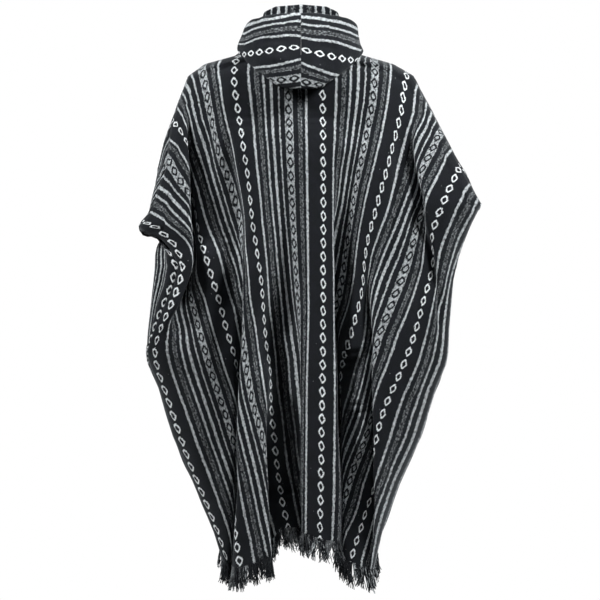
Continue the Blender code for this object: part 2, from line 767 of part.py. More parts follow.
def fringe(name, hem, cells, facing):
    """Loose warp ends below a hem: a narrow root strip with separate strands along it."""
    points = []
    for low, high in zip(hem, hem[1:]):
        points += [Vector(low).lerp(Vector(high), cell / cells) for cell in range(cells)]
    points.append(Vector(hem[-1]))
    strip_foot = [point - Vector((0, 0, FRINGE_STRIP)) for point in points]
    vertices = [point - Vector((0, 0, FRINGE_GAP)) for point in points] + strip_foot
    faces = []
    for index in range(len(points) - 1):
        low = index + len(points)
        faces.append((index, low, low + 1, index + 1))
        if index % 2 == 0:
            left, right = Vector(strip_foot[index]), Vector(strip_foot[index + 1])
            across = right - left
            fall = FRINGE_LENGTH * (1 - FRINGE_UNEVEN + FRINGE_UNEVEN * math.sin(index * 2.4))
            drop = across * FRINGE_SWAY * math.sin(index * 1.7) - Vector((0, 0, fall))
            start = len(vertices)
            vertices += [left + across * FRINGE_TAPER + drop, right - across * FRINGE_TAPER + drop]
            faces.append((low, start, start + 1, low + 1))
    if facing < 0:
        faces = [face[::-1] for face in faces]
    return cloth_from(name, vertices, faces, MIXED_COTTON)


def main():
    back = back_grid()
    front = front_grid(back)
    cloth("back_panel", back, DARK_COTTON)
    cloth("front_panel", [row[::-1] for row in front], DARK_COTTON)
    hood_half("hood_left", -1)
    hood_half("hood_right", 1)
    band_half("front_band_left", -1)
    band_half("front_band_right", 1)
    fringe("back_fringe", back[-1], BACK_FRINGE_CELLS, 1)
    fringe("front_fringe", front[-1], FRONT_FRINGE_CELLS, -1)


for old in list(bpy.data.objects):
    bpy.data.objects.remove(old)
PARTS = bpy.data.collections.new("hooded_poncho")
bpy.context.scene.collection.children.link(PARTS)
main()
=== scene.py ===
"""Hooded poncho: striped and patterned cotton panels, hood, neck band and fringes around the frame.

Metres, +Z up. The wearer's back faces -Y, and +X is on the right when it is seen from behind.
Heights and places read from the photograph are in its pixels, in columns named down and across.
A warp number counts stripe repeats across the cloth, from the left selvedge to the right one.
"""
import functools
import math
import random

import bmesh
import bpy
import numpy
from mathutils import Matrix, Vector


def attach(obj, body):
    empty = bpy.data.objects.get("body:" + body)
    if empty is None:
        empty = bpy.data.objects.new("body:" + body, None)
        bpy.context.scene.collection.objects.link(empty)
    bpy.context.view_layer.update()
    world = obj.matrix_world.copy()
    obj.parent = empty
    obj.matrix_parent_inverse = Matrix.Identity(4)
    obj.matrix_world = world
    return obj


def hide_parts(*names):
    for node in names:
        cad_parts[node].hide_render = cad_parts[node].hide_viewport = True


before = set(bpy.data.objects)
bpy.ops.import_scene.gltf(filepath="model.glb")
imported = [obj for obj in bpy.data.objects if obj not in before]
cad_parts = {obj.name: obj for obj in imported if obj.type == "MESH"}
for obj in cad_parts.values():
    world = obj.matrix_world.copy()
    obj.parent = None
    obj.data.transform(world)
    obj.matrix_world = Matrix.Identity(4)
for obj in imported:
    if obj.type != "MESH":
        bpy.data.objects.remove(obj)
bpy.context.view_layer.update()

# Real sizes
PIXEL = 0.00217  # one photograph pixel on the back of the garment
CENTRE_ACROSS = 301.0  # photograph column of the middle of the back
SHOULDER_DOWN = 64.0  # photograph row of the shoulder line, which is height zero
PHOTO_SIZE = 600  # its width and height in pixels
STRIPE_REPEAT = 0.194  # one repeat of the stripes across the cloth
DIAMOND_PITCH = 0.0294  # one repeat of the diamonds along the cloth
WALL = 0.002  # thickness of the brushed cotton
SEAM_GAP = 0.0006  # parting of two cloth edges at a seam
HOOD_SEAM_GAP = 0.00002  # the hood's halves meet, so that no light shows between them
SEAM_TUCK = 0.0028  # the front's seam edge lies this far in, just inside the back's wall
FRINGE_LENGTH = 0.050

# The cloth's selvedges and its neck edge, in stripe repeats
LEFT_SELVEDGE = -0.12
RIGHT_SELVEDGE = 5.5
NECK_LEFT = 2.1
NECK_RIGHT = 3.3
NECK_MIDDLE = 2.745  # at centre back
NECK_DOWN = 52.0  # photograph row of the neck edge beside the shoulders
NECK_DIP_BACK = 6.0  # rows by which it dips at the back and at the front
NECK_DIP_FRONT = 20.0

# Mesh fineness
PANEL_COLUMNS = 216
PANEL_ROWS = 210
HOOD_COLUMNS = 64
HOOD_ROWS = 84
BAND_COLUMNS = 40
BAND_ROWS = 40

# Rows of the photograph on which a diamond lies, which sets where the woven pattern starts: warp, down
DIAMOND_ROWS = [
    (-0.12, 234.0), (0.00, 234.0), (1.00, 141.5), (2.00, 146.3), (2.60, 149.0), (3.00, 148.3),
    (4.00, 147.4), (5.00, 170.2), (5.50, 176.0),
]

# Stripes on the hood, seen from behind. The columns after across are photograph rows of the stripes
# named in HOOD_WARPS, from the top of the folded hood down to its tip.
HOOD_WARPS = (1.41, 1.325, 1.25, 1.16, 1.00, 0.80, 0.727, 0.603)
HOOD_STRIPES_LEFT = [
    (245, 27.0, 34.0, 39.8, 44.0, 54.3, 69.0, 75.0, 84.0),
    (254, 23.4, 28.7, 35.3, 39.5, 53.2, 68.0, 74.0, 83.0),
    (262, 20.8, 26.4, 33.3, 36.8, 52.0, 67.0, 72.5, 82.0),
    (272, 19.4, 24.4, 31.3, 36.6, 50.2, 66.1, 71.7, 80.5),
    (286, 16.7, 22.5, 28.9, 35.3, 47.7, 63.2, 69.6, 79.5),
    (301, 13.4, 20.4, 28.8, 36.2, 47.3, 58.9, 66.5, 77.5),
]
HOOD_STRIPES_RIGHT = [
    (301, 16.8, 23.4, 30.6, 37.6, 48.8, 62.6, 69.9, 81.5),
    (312, 18.3, 25.9, 33.0, 39.7, 51.9, 67.4, 74.6, 83.0),
    (327, 20.2, 26.4, 33.5, 40.4, 55.2, 72.8, 80.0, 86.0),
    (339, 22.3, 29.5, 35.7, 42.9, 58.0, 76.0, 83.0, 90.0),
    (351, 25.9, 33.0, 39.3, 47.3, 60.0, 78.0, 85.0, 92.0),
    (360, 31.0, 37.5, 43.0, 50.5, 61.0, 79.0, 86.0, 93.0),
]
HOOD_FIRST_DIAMOND = {-1: 0.015, 1: 0.012}  # distance of the first diamond from the centre seam

# The woven stripes in one repeat: warp where a stripe starts, and its kind
STRIPES = [
    (0.000, "ground"), (0.148, "white"), (0.172, "ground"), (0.226, "grey"), (0.275, "ground"),
    (0.313, "white"), (0.339, "ground"), (0.397, "white"), (0.426, "ground"), (0.487, "white"),
    (0.502, "ground"), (0.557, "band"), (0.647, "ground"), (0.704, "grey"), (0.751, "ground"),
    (0.787, "white"), (0.815, "ground"),
]
KINDS = {"ground": (0, 0, 0, 1), "white": (1, 0, 0, 1), "grey": (0, 1, 0, 1), "band": (0, 0, 1, 1)}

BLACK_COTTON = (0.0060, 0.0072, 0.0088, 1)
BLUISH_COTTON = (0.0085, 0.0092, 0.0128, 1)
NAP_COTTON = (0.027, 0.032, 0.035, 1)
LINT_COTTON = (0.22, 0.23, 0.24, 1)
STRIPE_COTTON = (0.56, 0.60, 0.62, 1)
DIAMOND_COTTON = (0.80, 0.84, 0.86, 1)
SHEEN_COTTON = (0.70, 0.76, 0.80, 1)
EDGE_WANDER = 0.022  # how far a stripe's edge strays over a few millimetres, in repeats
EDGE_DRIFT = 0.010  # and over a few centimetres
EDGE_FUZZ = 0.040  # and from fibre to fibre
CHAIN_DIAMOND = (0.0400, 0.400, 0.60)  # half width, half height and hollow share, in repeats
BAND_MIDDLE = 0.602
BAND_DIAMOND = (0.0420, 0.430, 0.50)
DIAMOND_ROUNDNESS = 1.3  # 1 is a straight-sided diamond, 2 an ellipse
GREY_MIDDLES = (0.2505, 0.7275)
TWILL_LINES = 3600.0  # turns in radians for each metre across the twill
THREAD_STRETCH = (1.0, 0.55, 1.0)  # marled yarn is longer along the cloth than across it
ALONG_WANDER = 0.0030  # how far a diamond's outline strays along the cloth, in metres
ALONG_FUZZ = 0.0050
ROUGHNESS = 0.95
SPECULAR = 0.10
SHEEN = 0.14
SHEEN_ROUGHNESS = 0.5

# Noises of the cloth: scale, detail and roughness
WANDER_NOISE = (150.0, 2.0, 0.5)
DRIFT_NOISE = (28.0, 2.0, 0.5)
FUZZ_NOISE = (430.0, 3.0, 0.7)
FINE_NOISE = (1100.0, 3.0, 0.6)
TUFT_NOISE = (260.0, 3.0, 0.7)
MARL_NOISE = (320.0, 2.0, 0.75)
PATCH_NOISE = (38.0, 3.0, 0.6)
LINT_PATCHES = (30.0, 1.0, 0.5)
LINT_SCALE = 70.0
LINT_SIZE = 0.07
LINT_RARITY = 0.56

# Ranges of a noise that are stretched to 0 and 1, and what is then made of them: factor, least
MARL_RANGE = (0.42, 0.62)
FRINGE_MARL_RANGE = (0.36, 0.56)
BAND_MOTTLE_RANGE = (0.36, 0.58)
BAND_MOTTLE = (0.55, 0.45)
STRAND_RANGE = (0.002, 0.014)
STRAND_LIGHT = (0.45, 0.55)
UNEVEN_RANGE = (0.3, 0.7)
UNEVEN_LIGHT = (0.35, 0.33)
WORN_RANGE = (0.40, 0.56)
WORN_LIGHT = (0.66, 0.36)
PATCH_LIGHT = (0.5, 0.75)
DIAMOND_LIGHT = (0.3, 0.7)
FLECK_RANGE = (0.55, 0.7)
BLUISH_RANGE = (0.35, 0.65)
NAP_RANGE = (0.48, 0.85)
FRINGE_BAND = 0.5  # brightness of the band's yarns in the fringe
FRINGE_FLECK = 0.10  # light fibres on the fringe

# Relief of the cloth: shares of the tufts, the fine nap, the light stripes and the twill
TUFT_RELIEF = 1.2
NAP_RELIEF = 0.9
STRIPE_RELIEF = 0.5
TWILL_RELIEF = 0.12
RELIEF_STRENGTH = 0.6
RELIEF_DEPTH = 0.0007

# Seams, creases and slack
TUCK_SHARES = (1.0, 0.55, 0.2)  # of SEAM_TUCK, for the cells next to a seam
INSIDE_DROP = 0.1  # the inside of the garment is taken on its middle line, this far below a point
CREASE_ENDS = (0.04, 0.96)  # a crease's fade starts and ends at these shares of its path
CREASE_FADE = 0.6
SLACK_WAVES = 9
SLACK_WIDTH = (18.0, 60.0)  # photograph pixels across the cloth and down it
SLACK_HEIGHT = (120.0, 500.0)
SLACK_DEPTH = 0.0045
HOOD_SLACK = 0.002
HOOD_SLACK_SEED = 5
HOOD_SLACK_SCALE = 2
SLACK_LEAN = 0.3
SEAM_CELLS = 1.2  # width of the hood's centre seam in cells, and its depth
SEAM_DIP = 0.0022
SEAM_ALLOWANCE = 0.006
BAND_SEAM_WARP = 0.16  # the centre front lies on a white stripe
PANEL_FADE = (8, 6, 3)  # cells over which creases and slack fade at the top, the sides and the hem
HOOD_FADE = (6, 4, 3)
HOOD_RELIEF_START = 0.2  # share of the hood's roll that has no relief, and of its fade
HOOD_RELIEF_FADE = 0.15
HOOD_PATTERN_LINE = 0.6  # share of the roll on which the pattern's length is measured

# Fringe, in metres and shares of a yarn's length
TUFT_WIDTH = (0.006, 0.018)
TUFT_LEAN = 0.28
TUFT_LENGTH = (0.74, 1.06)
TUFT_GATHER = 0.62  # how far the yarns of one tuft draw together
GATHER_PACE = 1.4
TUFT_BEND = 1.4  # powers of the share down a yarn by which it leans and sways
YARN_BEND = 2
CURL_TURN = 5  # radians of its curl
SLOPE_ROWS = 3  # rows of the hem over which the cloth's slope is read
YARN_SPACING = 0.0008
SPACING_RANGE = (0.7, 1.3)
YARN_RADIUS = 0.0014
YARN_TAPER = 0.45
YARN_STEPS = 6
YARN_LENGTH = (0.8, 1.08)
YARN_SWAY = 0.25
YARN_SWING = 0.2
YARN_CURL = 0.12
YARN_STRAY = 0.009  # how far a loose yarn hangs from its own stripe, in repeats
YARN_ROOT = 0.0015  # length of its root inside the hem
YARN_LIFT = 0.0006
SIDE_STEP = 0.004  # over which the hem's direction is read
YARN_PATTERN_STEP = 0.005  # length of pattern from one ring of a yarn's corners to the next
RING_CORNERS = 4
FALL_PACE = 1.6  # how soon a yarn turns from the cloth's slope to hang straight down

# Listed creases: path in photograph columns and rows, width in pixels, height in metres
BACK_CREASES = [
    {"path": [(224, 112), (230, 160), (238, 215), (242, 240)], "width": 4.5, "height": -0.010},
    {"path": [(214, 110), (218, 160), (226, 220)], "width": 6.0, "height": 0.006},
    {"path": [(143, 233), (156, 231), (176, 231)], "width": 2.5, "height": -0.005},
    {"path": [(438, 278), (439, 300), (441, 330)], "width": 3.5, "height": -0.009},
    {"path": [(288, 190), (289, 260), (291, 330)], "width": 5.0, "height": -0.005},
    {"path": [(352, 120), (348, 180), (343, 250)], "width": 5.0, "height": -0.004},
    {"path": [(392, 120), (380, 190), (372, 250)], "width": 7.0, "height": 0.005},
    {"path": [(404, 130), (396, 200), (386, 260)], "width": 5.0, "height": -0.005},
]
FRONT_CREASES = [
    {"path": [(240, 90), (250, 220), (236, 420)], "width": 6.0, "height": -0.007},
    {"path": [(352, 100), (346, 240), (360, 430)], "width": 7.0, "height": -0.006},
    {"path": [(300, 110), (304, 300), (296, 500)], "width": 8.0, "height": 0.006},
]
HOOD_CREASES = [
    {"path": [(252, 44), (272, 40), (292, 42)], "width": 3.5, "height": -0.003},
    {"path": [(310, 45), (332, 47), (352, 54)], "width": 3.5, "height": -0.003},
    {"path": [(258, 60), (280, 58), (298, 62)], "width": 4.0, "height": 0.003},
    {"path": [(306, 66), (322, 68), (334, 72)], "width": 4.0, "height": 0.003},
]

# Stage
FLOOR_COLOUR = (0.92, 0.92, 0.92, 1)
FLOOR_ROUGHNESS = 0.9
FLOOR_SIZE = 0.9
FLOOR_HEIGHT = -1.42
WALL_EDGE = (0.60, 0.90)  # how squarely a view faces the bright wall behind, from dim to bright
WALL_DIM = 0.03
LIGHT_AIM = -0.12  # height that the lights point at
LIGHT_SPREAD = 75.0  # degrees
LIGHTS = [  # name, place, size, power
    ("key", (2.3, -1.3, 1.7), 0.9, 27.0),
    ("fill", (-2.3, -1.3, 1.7), 0.9, 22.0),
    ("top", (0.2, -1.8, 2.3), 0.9, 1.0),
    ("back", (0.4, 2.6, 1.8), 2.4, 5.0),
]
CAMERA_DISTANCE = 8.0
FOCUS_DEPTH = -0.06  # depth of the plane that one photograph pixel is measured on

# Outline from behind: down, left edge across, right edge across
OUTLINE = [
    (50, 250.0, 350.0), (52, 248.0, 352.0), (58, 225.0, 373.0), (64, 204.0, 394.0),
    (76, 188.0, 414.0), (100, 179.0, 426.0), (124, 170.0, 439.0), (160, 159.0, 458.0),
    (184, 153.0, 471.0), (204, 149.0, 481.5), (214, 146.5, 476.5), (221, 141.0, 472.5),
    (226, 138.3, 470.5), (231, 139.2, 468.0), (235, 144.0, 466.5), (237, 155.0, 466.0),
    (240, 157.5, 465.0), (256, 155.0, 459.0), (280, 153.0, 454.0), (328, 147.0, 450.0),
    (352, 144.0, 449.0), (364, 148.0, 447.0), (388, 158.0, 437.0), (436, 172.0, 422.0),
    (484, 193.0, 400.0), (532, 213.0, 383.0), (580, 228.0, 372.0),
]

# Depth of the worn form at its middle: down, towards the back, towards the front
BODY_DEPTH = [
    (50, 0.055, 0.055), (58, 0.066, 0.072), (64, 0.085, 0.085), (76, 0.104, 0.102),
    (100, 0.118, 0.120), (150, 0.125, 0.140), (208, 0.120, 0.150), (262, 0.120, 0.150),
    (330, 0.125, 0.150), (400, 0.135, 0.150), (470, 0.145, 0.150), (580, 0.150, 0.150),
]

# Left edge of the back panel, which is the shoulder seam, then the selvedge: down, across, warp
LEFT_SHOULDER = [
    (52, 248.0, 2.10), (64, 204.5, 1.62), (76, 188.5, 1.47), (88, 183.5, 1.38), (100, 179.5, 1.25),
    (123, 171.5, 0.97), (139, 168.5, 0.80), (153, 167.5, 0.64), (168, 166.0, 0.55),
    (187, 158.0, 0.41), (212, 150.0, 0.16), (220, 142.5, 0.03), (226, 139.0, -0.12),
]
LEFT_SIDE = [
    (231, 140.0), (235, 145.5), (237, 156.0), (240, 162.0), (250, 171.0), (266, 178.5),
    (285, 173.5), (304, 165.0), (325, 156.0), (347, 148.0), (361, 148.0), (388, 158.6),
    (436, 172.6), (484, 193.6), (532, 213.6), (580, 228.6),
]
LEFT_EDGE = LEFT_SHOULDER + [(down, across, LEFT_SELVEDGE) for down, across in LEFT_SIDE]

# Right edge of the back panel, in the same columns
RIGHT_SHOULDER = [
    (52, 352.0, 3.30), (64, 393.5, 3.85), (76, 413.5, 4.08), (93, 422.0, 4.25), (111, 431.5, 4.41),
    (130, 442.0, 4.60), (149, 452.0, 4.80), (166, 460.5, 5.00), (184, 470.5, 5.16),
    (199, 478.5, 5.34), (204, 480.8, 5.37),
]
RIGHT_SIDE = [
    (290, 452.7), (328, 449.5), (352, 448.5), (364, 446.5), (388, 436.5), (436, 421.5),
    (484, 399.5), (532, 382.5), (580, 371.5),
]
RIGHT_EDGE = RIGHT_SHOULDER + [
    (209, 478.8, 5.38), (221, 472.0, 5.39), (240, 464.5, 5.40), (256, 458.5, 5.41),
    (280, 453.5, 5.48),
] + [(down, across, RIGHT_SELVEDGE) for down, across in RIGHT_SIDE]

# Folds of the back. Each row: down, edge across, warp at the left of the edge, warp at its right.
# over is the side whose cloth lies in front. lift and step are how far the front cloth stands
# proud of the worn form and how far the cloth behind it lies in.
FOLDS = {
    "left_armpit": {
        "over": "left",
        "lift": 0.014,
        "step": 0.040,
        "rows": [
            (99, 188.5, 1.390, 1.420), (124, 189.0, 1.180, 1.325), (153, 190.0, 0.900, 1.250),
            (174, 190.5, 0.730, 1.160), (208, 192.5, 0.495, 1.060), (229, 194.5, 0.370, 1.000),
            (244, 195.0, 0.250, 0.930), (262, 195.0, 0.140, 0.840), (280, 190.5, 0.100, 0.760),
            (298, 184.0, 0.080, 0.530), (308, 178.0, 0.070, 0.410), (319, 170.0, 0.060, 0.250),
            (329, 164.5, 0.040, 0.160), (345, 153.0, 0.000, 0.060),
        ],
    },
    "left_crease": {
        "over": "right",
        "lift": 0.012,
        "step": 0.055,
        "rows": [
            (233, 244.5, 1.600, 1.620), (251, 243.5, 1.470, 1.640), (276, 242.6, 1.410, 1.635),
            (292, 242.0, 1.335, 1.625), (307, 241.5, 1.270, 1.615), (329, 241.0, 1.170, 1.600),
            (365, 239.0, 1.000, 1.520), (400, 238.0, 0.800, 1.410), (445, 236.5, 0.600, 1.260),
            (487, 236.5, 0.420, 1.130), (507, 235.5, 0.325, 1.070), (540, 233.5, 0.160, 0.970),
            (580, 231.0, 0.060, 0.880),
        ],
    },
    "pleat_edge": {
        "over": "left",
        "lift": 0.012,
        "step": 0.104,
        "rows": [
            (350, 267.5, 1.970, 2.000), (376, 268.0, 1.900, 2.000), (400, 268.0, 1.830, 1.970),
            (421, 268.0, 1.727, 1.950), (459, 268.0, 1.600, 1.920), (505, 269.5, 1.495, 1.850),
            (580, 274.0, 1.330, 1.650),
        ],
    },
    "centre_left": {
        "over": "right",
        "lift": 0.008,
        "step": 0.088,
        "rows": [
            (300, 299.0, 2.570, 2.630), (351, 299.0, 2.450, 2.620), (415, 299.5, 2.400, 2.660),
            (453, 300.0, 2.350, 2.680), (499, 300.0, 2.220, 2.700), (580, 302.0, 2.000, 2.760),
        ],
    },
    "centre_right": {
        "over": "left",
        "lift": 0.008,
        "step": 0.064,
        "rows": [
            (140, 334.0, 3.170, 3.200), (194, 334.0, 3.180, 3.270), (229, 334.5, 3.180, 3.400),
            (300, 335.5, 3.180, 3.580), (345, 337.0, 3.190, 3.920), (408, 339.0, 3.210, 4.120),
            (453, 340.0, 3.230, 4.380), (496, 341.0, 3.250, 4.570), (540, 341.0, 3.280, 4.800),
            (580, 342.0, 3.280, 4.950),
        ],
    },
    "right_ridge": {
        "over": "right",
        "lift": 0.010,
        "step": 0.024,
        "rows": [
            (258, 370.5, 4.195, 4.215), (281, 369.8, 4.185, 4.275), (300, 369.3, 4.185, 4.310),
            (324, 369.8, 4.200, 4.430), (343, 370.6, 4.280, 4.520), (351, 371.0, 4.330, 4.550),
            (389, 371.0, 4.470, 4.720), (438, 372.5, 4.660, 4.960), (478, 372.5, 4.870, 5.120),
            (506, 372.5, 5.050, 5.270), (533, 372.5, 5.170, 5.340), (580, 369.0, 5.300, 5.420),
        ],
    },
    "right_armpit": {
        "over": "right",
        "lift": 0.012,
        "step": 0.030,
        "rows": [
            (112, 413.5, 4.200, 4.250), (148, 413.5, 4.240, 4.400), (181, 416.5, 4.350, 4.600),
            (196, 420.0, 4.450, 4.727), (209, 422.7, 4.550, 4.800), (221, 425.0, 4.690, 4.880),
            (233, 427.8, 4.820, 4.950), (241, 430.3, 4.890, 5.010), (262, 436.0, 5.010, 5.150),
            (290, 436.8, 5.110, 5.200), (311, 434.0, 5.140, 5.200),
        ],
    },
}

# Stripe lines that show on the back: warp, then down and across for each point along the line
STRIPE_LINES = [
    (0.00, [(219.5, 143.6), (224, 146.5), (228, 152), (231, 161), (234, 169), (244, 173), (255, 179),
            (267, 182), (285, 177), (305, 170), (327, 160), (349, 153), (372, 157), (405, 169),
            (446, 182), (491, 200), (533, 217), (580, 234)]),
    (0.16, [(212, 150.5), (219, 160), (226, 168.5), (231, 177.5), (240, 187), (250, 192.6)]),
    (0.16, [(340, 165), (367, 170), (487, 213), (530, 229)]),
    (0.60, [(300, 191), (337, 201), (367, 210), (435, 232)]),
    (1.00, [(237, 199), (263, 207), (297, 218), (329, 226), (358, 236)]),
    (1.16, [(182, 196), (223, 206), (250, 218), (283, 226), (318, 238)]),
    (1.41, [(104, 190), (133, 201), (160, 208), (202, 220), (228, 228.5), (241, 234), (251, 238),
            (262, 241)]),
    (1.325, [(200, 213), (228, 221.3), (241, 226.4), (251, 229.5), (260, 232.6), (276, 238.2), (286, 240.6)]),
    (1.60, [(72, 203), (103, 208), (138, 215), (187, 231), (226, 239), (236, 241.5)]),
    (1.80, [(65, 217), (113, 224), (149, 232), (208, 242), (304, 250), (332, 256), (364, 261),
            (408, 267)]),
    (2.00, [(62, 234), (90, 234), (119, 239), (174, 247), (227, 253), (281, 262), (345, 267)]),
    (2.16, [(62, 246), (107, 252), (159, 256), (236, 264), (300, 269), (389, 278), (466, 288), (490, 293)]),
    (2.41, [(62, 270), (124, 272), (180, 276), (229, 280), (300, 287), (351, 292), (400, 296)]),
    (2.80, [(62, 306), (92, 306), (312, 308), (389, 306), (580, 305)]),
    (3.00, [(62, 322), (92, 322.5), (190, 324), (350, 323), (500, 320.5), (580, 319.5)]),
    (3.60, [(64, 376), (99, 373), (152, 363), (194, 354), (229, 349), (285, 342)]),
    (4.00, [(80, 405), (108, 402), (135, 396), (186, 381), (237, 368), (260, 365), (289, 363),
            (316, 356), (338, 349)]),
    (4.16, [(111, 415), (132, 407), (184, 395), (210, 388), (238, 376.5), (257, 369.7), (281, 367.7),
            (300, 367.4), (324, 366.6), (343, 364.2), (376, 353), (398, 348)]),
    (4.325, [(200, 405), (219, 398.4), (238, 391.2), (257, 382.3), (281, 374), (296, 371.2)]),
    (4.41, [(209, 408.6), (219, 405.2), (238, 398), (257, 390.7), (281, 379.3), (300, 374), (312, 371.6)]),
    (4.495, [(209, 414.4), (219, 411.6), (238, 405), (257, 397.6), (281, 388.8), (300, 382), (322, 373.6)]),
    (4.495, [(405, 368), (428, 362), (453, 352), (462, 348)]),
    (4.60, [(226, 418.5), (241, 415), (261, 409), (283, 400.5), (306, 390.5), (324, 383.5), (331, 380),
            (343, 376)]),
    (4.80, [(244, 423.8), (262, 423.3), (270, 422), (281, 419), (300, 412), (324, 402.2), (343, 393.6)]),
    (4.80, [(486, 363), (515, 356), (530, 348)]),
    (5.00, [(171, 458), (193, 447), (217, 437), (235, 432)]),
    (5.16, [(184, 470), (200, 461), (219, 452.5), (238, 443.5), (257, 437.4)]),
    (5.325, [(200, 476.8), (219, 468), (238, 459.4), (257, 452.4), (276, 447), (296, 444)]),
    (5.00, [(272, 431), (293, 426), (330, 417), (354, 408), (378, 398), (401, 387), (424, 379),
            (436, 376)]),
    (5.00, [(508, 366), (528, 361), (552, 353), (562, 349)]),
]

# Broad swells of the back between its folds: warp, then down and height over the worn form
SWELLS = [
    (1.00, [(245, 0.000), (300, -0.030), (345, -0.042), (400, -0.034)]),
    (1.22, [(240, -0.018), (300, -0.050), (345, -0.054), (400, -0.042)]),
    (1.45, [(90, 0.000), (150, -0.026), (208, -0.050), (260, -0.056), (300, -0.048)]),
    (2.05, [(120, 0.002), (208, 0.008), (270, 0.004), (300, -0.014), (334, -0.040)]),
    (2.20, [(250, -0.004), (300, -0.030), (334, -0.056), (384, -0.092), (520, -0.098)]),
    (2.45, [(120, -0.002), (208, -0.012), (300, -0.036), (334, -0.052)]),
    (2.75, [(120, 0.002), (300, 0.006), (520, 0.008)]),
    (3.45, [(80, 0.000), (135, -0.008)]),
    (3.90, [(120, 0.000), (198, 0.006), (260, 0.002), (300, -0.004), (320, -0.008)]),
    (4.00, [(240, 0.004), (270, 0.002), (300, -0.002), (345, -0.008), (362, -0.010)]),
    (4.22, [(366, -0.006), (410, -0.010)]),
    (4.50, [(412, -0.004), (430, -0.006), (450, -0.010)]),
]

# Hem of the back panel: warp, down
BACK_HEM = [
    (-0.12, 563.0), (0.22, 563.0), (1.00, 568.0), (1.22, 562.0), (1.30, 557.0), (1.55, 557.0),
    (1.90, 528.0), (2.55, 528.0), (2.80, 534.0), (3.05, 541.0), (3.40, 541.0), (4.00, 546.0),
    (4.90, 560.0), (5.30, 570.0), (5.50, 570.0),
]

# Hem of the front panel: warp, down
FRONT_HEM = [
    (-0.12, 563.0), (0.60, 545.0), (1.90, 532.0), (2.35, 523.0), (2.90, 523.0), (3.40, 532.0),
    (4.80, 546.0), (5.50, 566.0),
]

# Roll of the front's left side: down, how far its chain is drawn round the form, in degrees
LEFT_ROLL = [(248, 0.0), (262, 3.2), (330, 3.4), (352, 0.0)]
ROLL_REACH = 0.09  # share of the front's width that it takes up

# Opening of the cuffs: down, how far the front selvedge stands off round the form, in degrees
LEFT_CUFF = [(231, 0.0), (236, 9.0), (244, 6.0), (252, 0.0)]
RIGHT_CUFF = [(209, 0.0), (214, 22.0), (230, 40.0), (250, 42.0), (270, 28.0), (288, 0.0)]

CUFF_REACH = 0.16  # share of the front's width that an open cuff draws forward
SUPERELLIPSE = 2.2  # roundness of the worn form's section
LEFT_FULLNESS = [(225, 0.0), (262, 0.9), (340, 0.9), (375, 0.0)]  # added to it on the left, by row
LEFT_ALLOWANCE = [(240, 0.0), (262, 0.09), (352, 0.09), (380, 0.0)]  # warps lost in the left seam
ALLOWANCE_REACH = 0.3  # warps over which the front's pattern takes up that loss

# A fold's hidden cloth: two legs that turn inside, at a rounded edge
POCKET_DEPTH = 0.115  # deepest that the turn lies behind the front cloth
POCKET_TURN = ((-0.05, -0.010), (0.05, -0.001))  # shift along the cloth, and sideways from the edge
UNDERLAP = 0.004  # how far the cloth behind starts under the front cloth's edge
SHALLOW = 0.020  # hidden cloth under this length only steps down
OPENS_OVER = 0.030  # growth of hidden cloth over which a step becomes a pocket
FOLD_EASE = 34.0  # rows over which a fold forms or dies away
HEM_FOLD_DOWN = 560  # a fold that goes on past this row runs into the hem
PATTERN_MARGIN = 0.05  # warps at the selvedges and beside a fold in which no line or swell is read
FOLD_MARGIN = 0.04
EDGE_MARGIN = 0.02
STEP_SHARE = 0.8  # most of its hidden cloth that a fold steps down by
SMOOTH_DOWN = 8.0  # reach of the average down the cloth, in photograph rows
CREASE_ROUND = ((-0.06, 1), (-0.04, 2), (-0.02, 3), (0.0, 4), (0.02, 3), (0.04, 2), (0.06, 1))

# Ripples of the front panel
FRONT_FOLDS = 6.5  # across the front
RIPPLE_DEPTH = 0.032  # greatest depth
RIPPLE_EDGE = 0.08  # share of the width over which they fade to the side seams
RIPPLE_UNEVEN = 0.03  # share of the width by which they crowd to one side
RIPPLE_DRIFT = 0.012  # share of the width by which they wander down the cloth
DRIFT_ROWS = 40  # rows of that wandering for each radian
RIPPLE_FIT = 0.8  # share of the spare cloth that they may take up

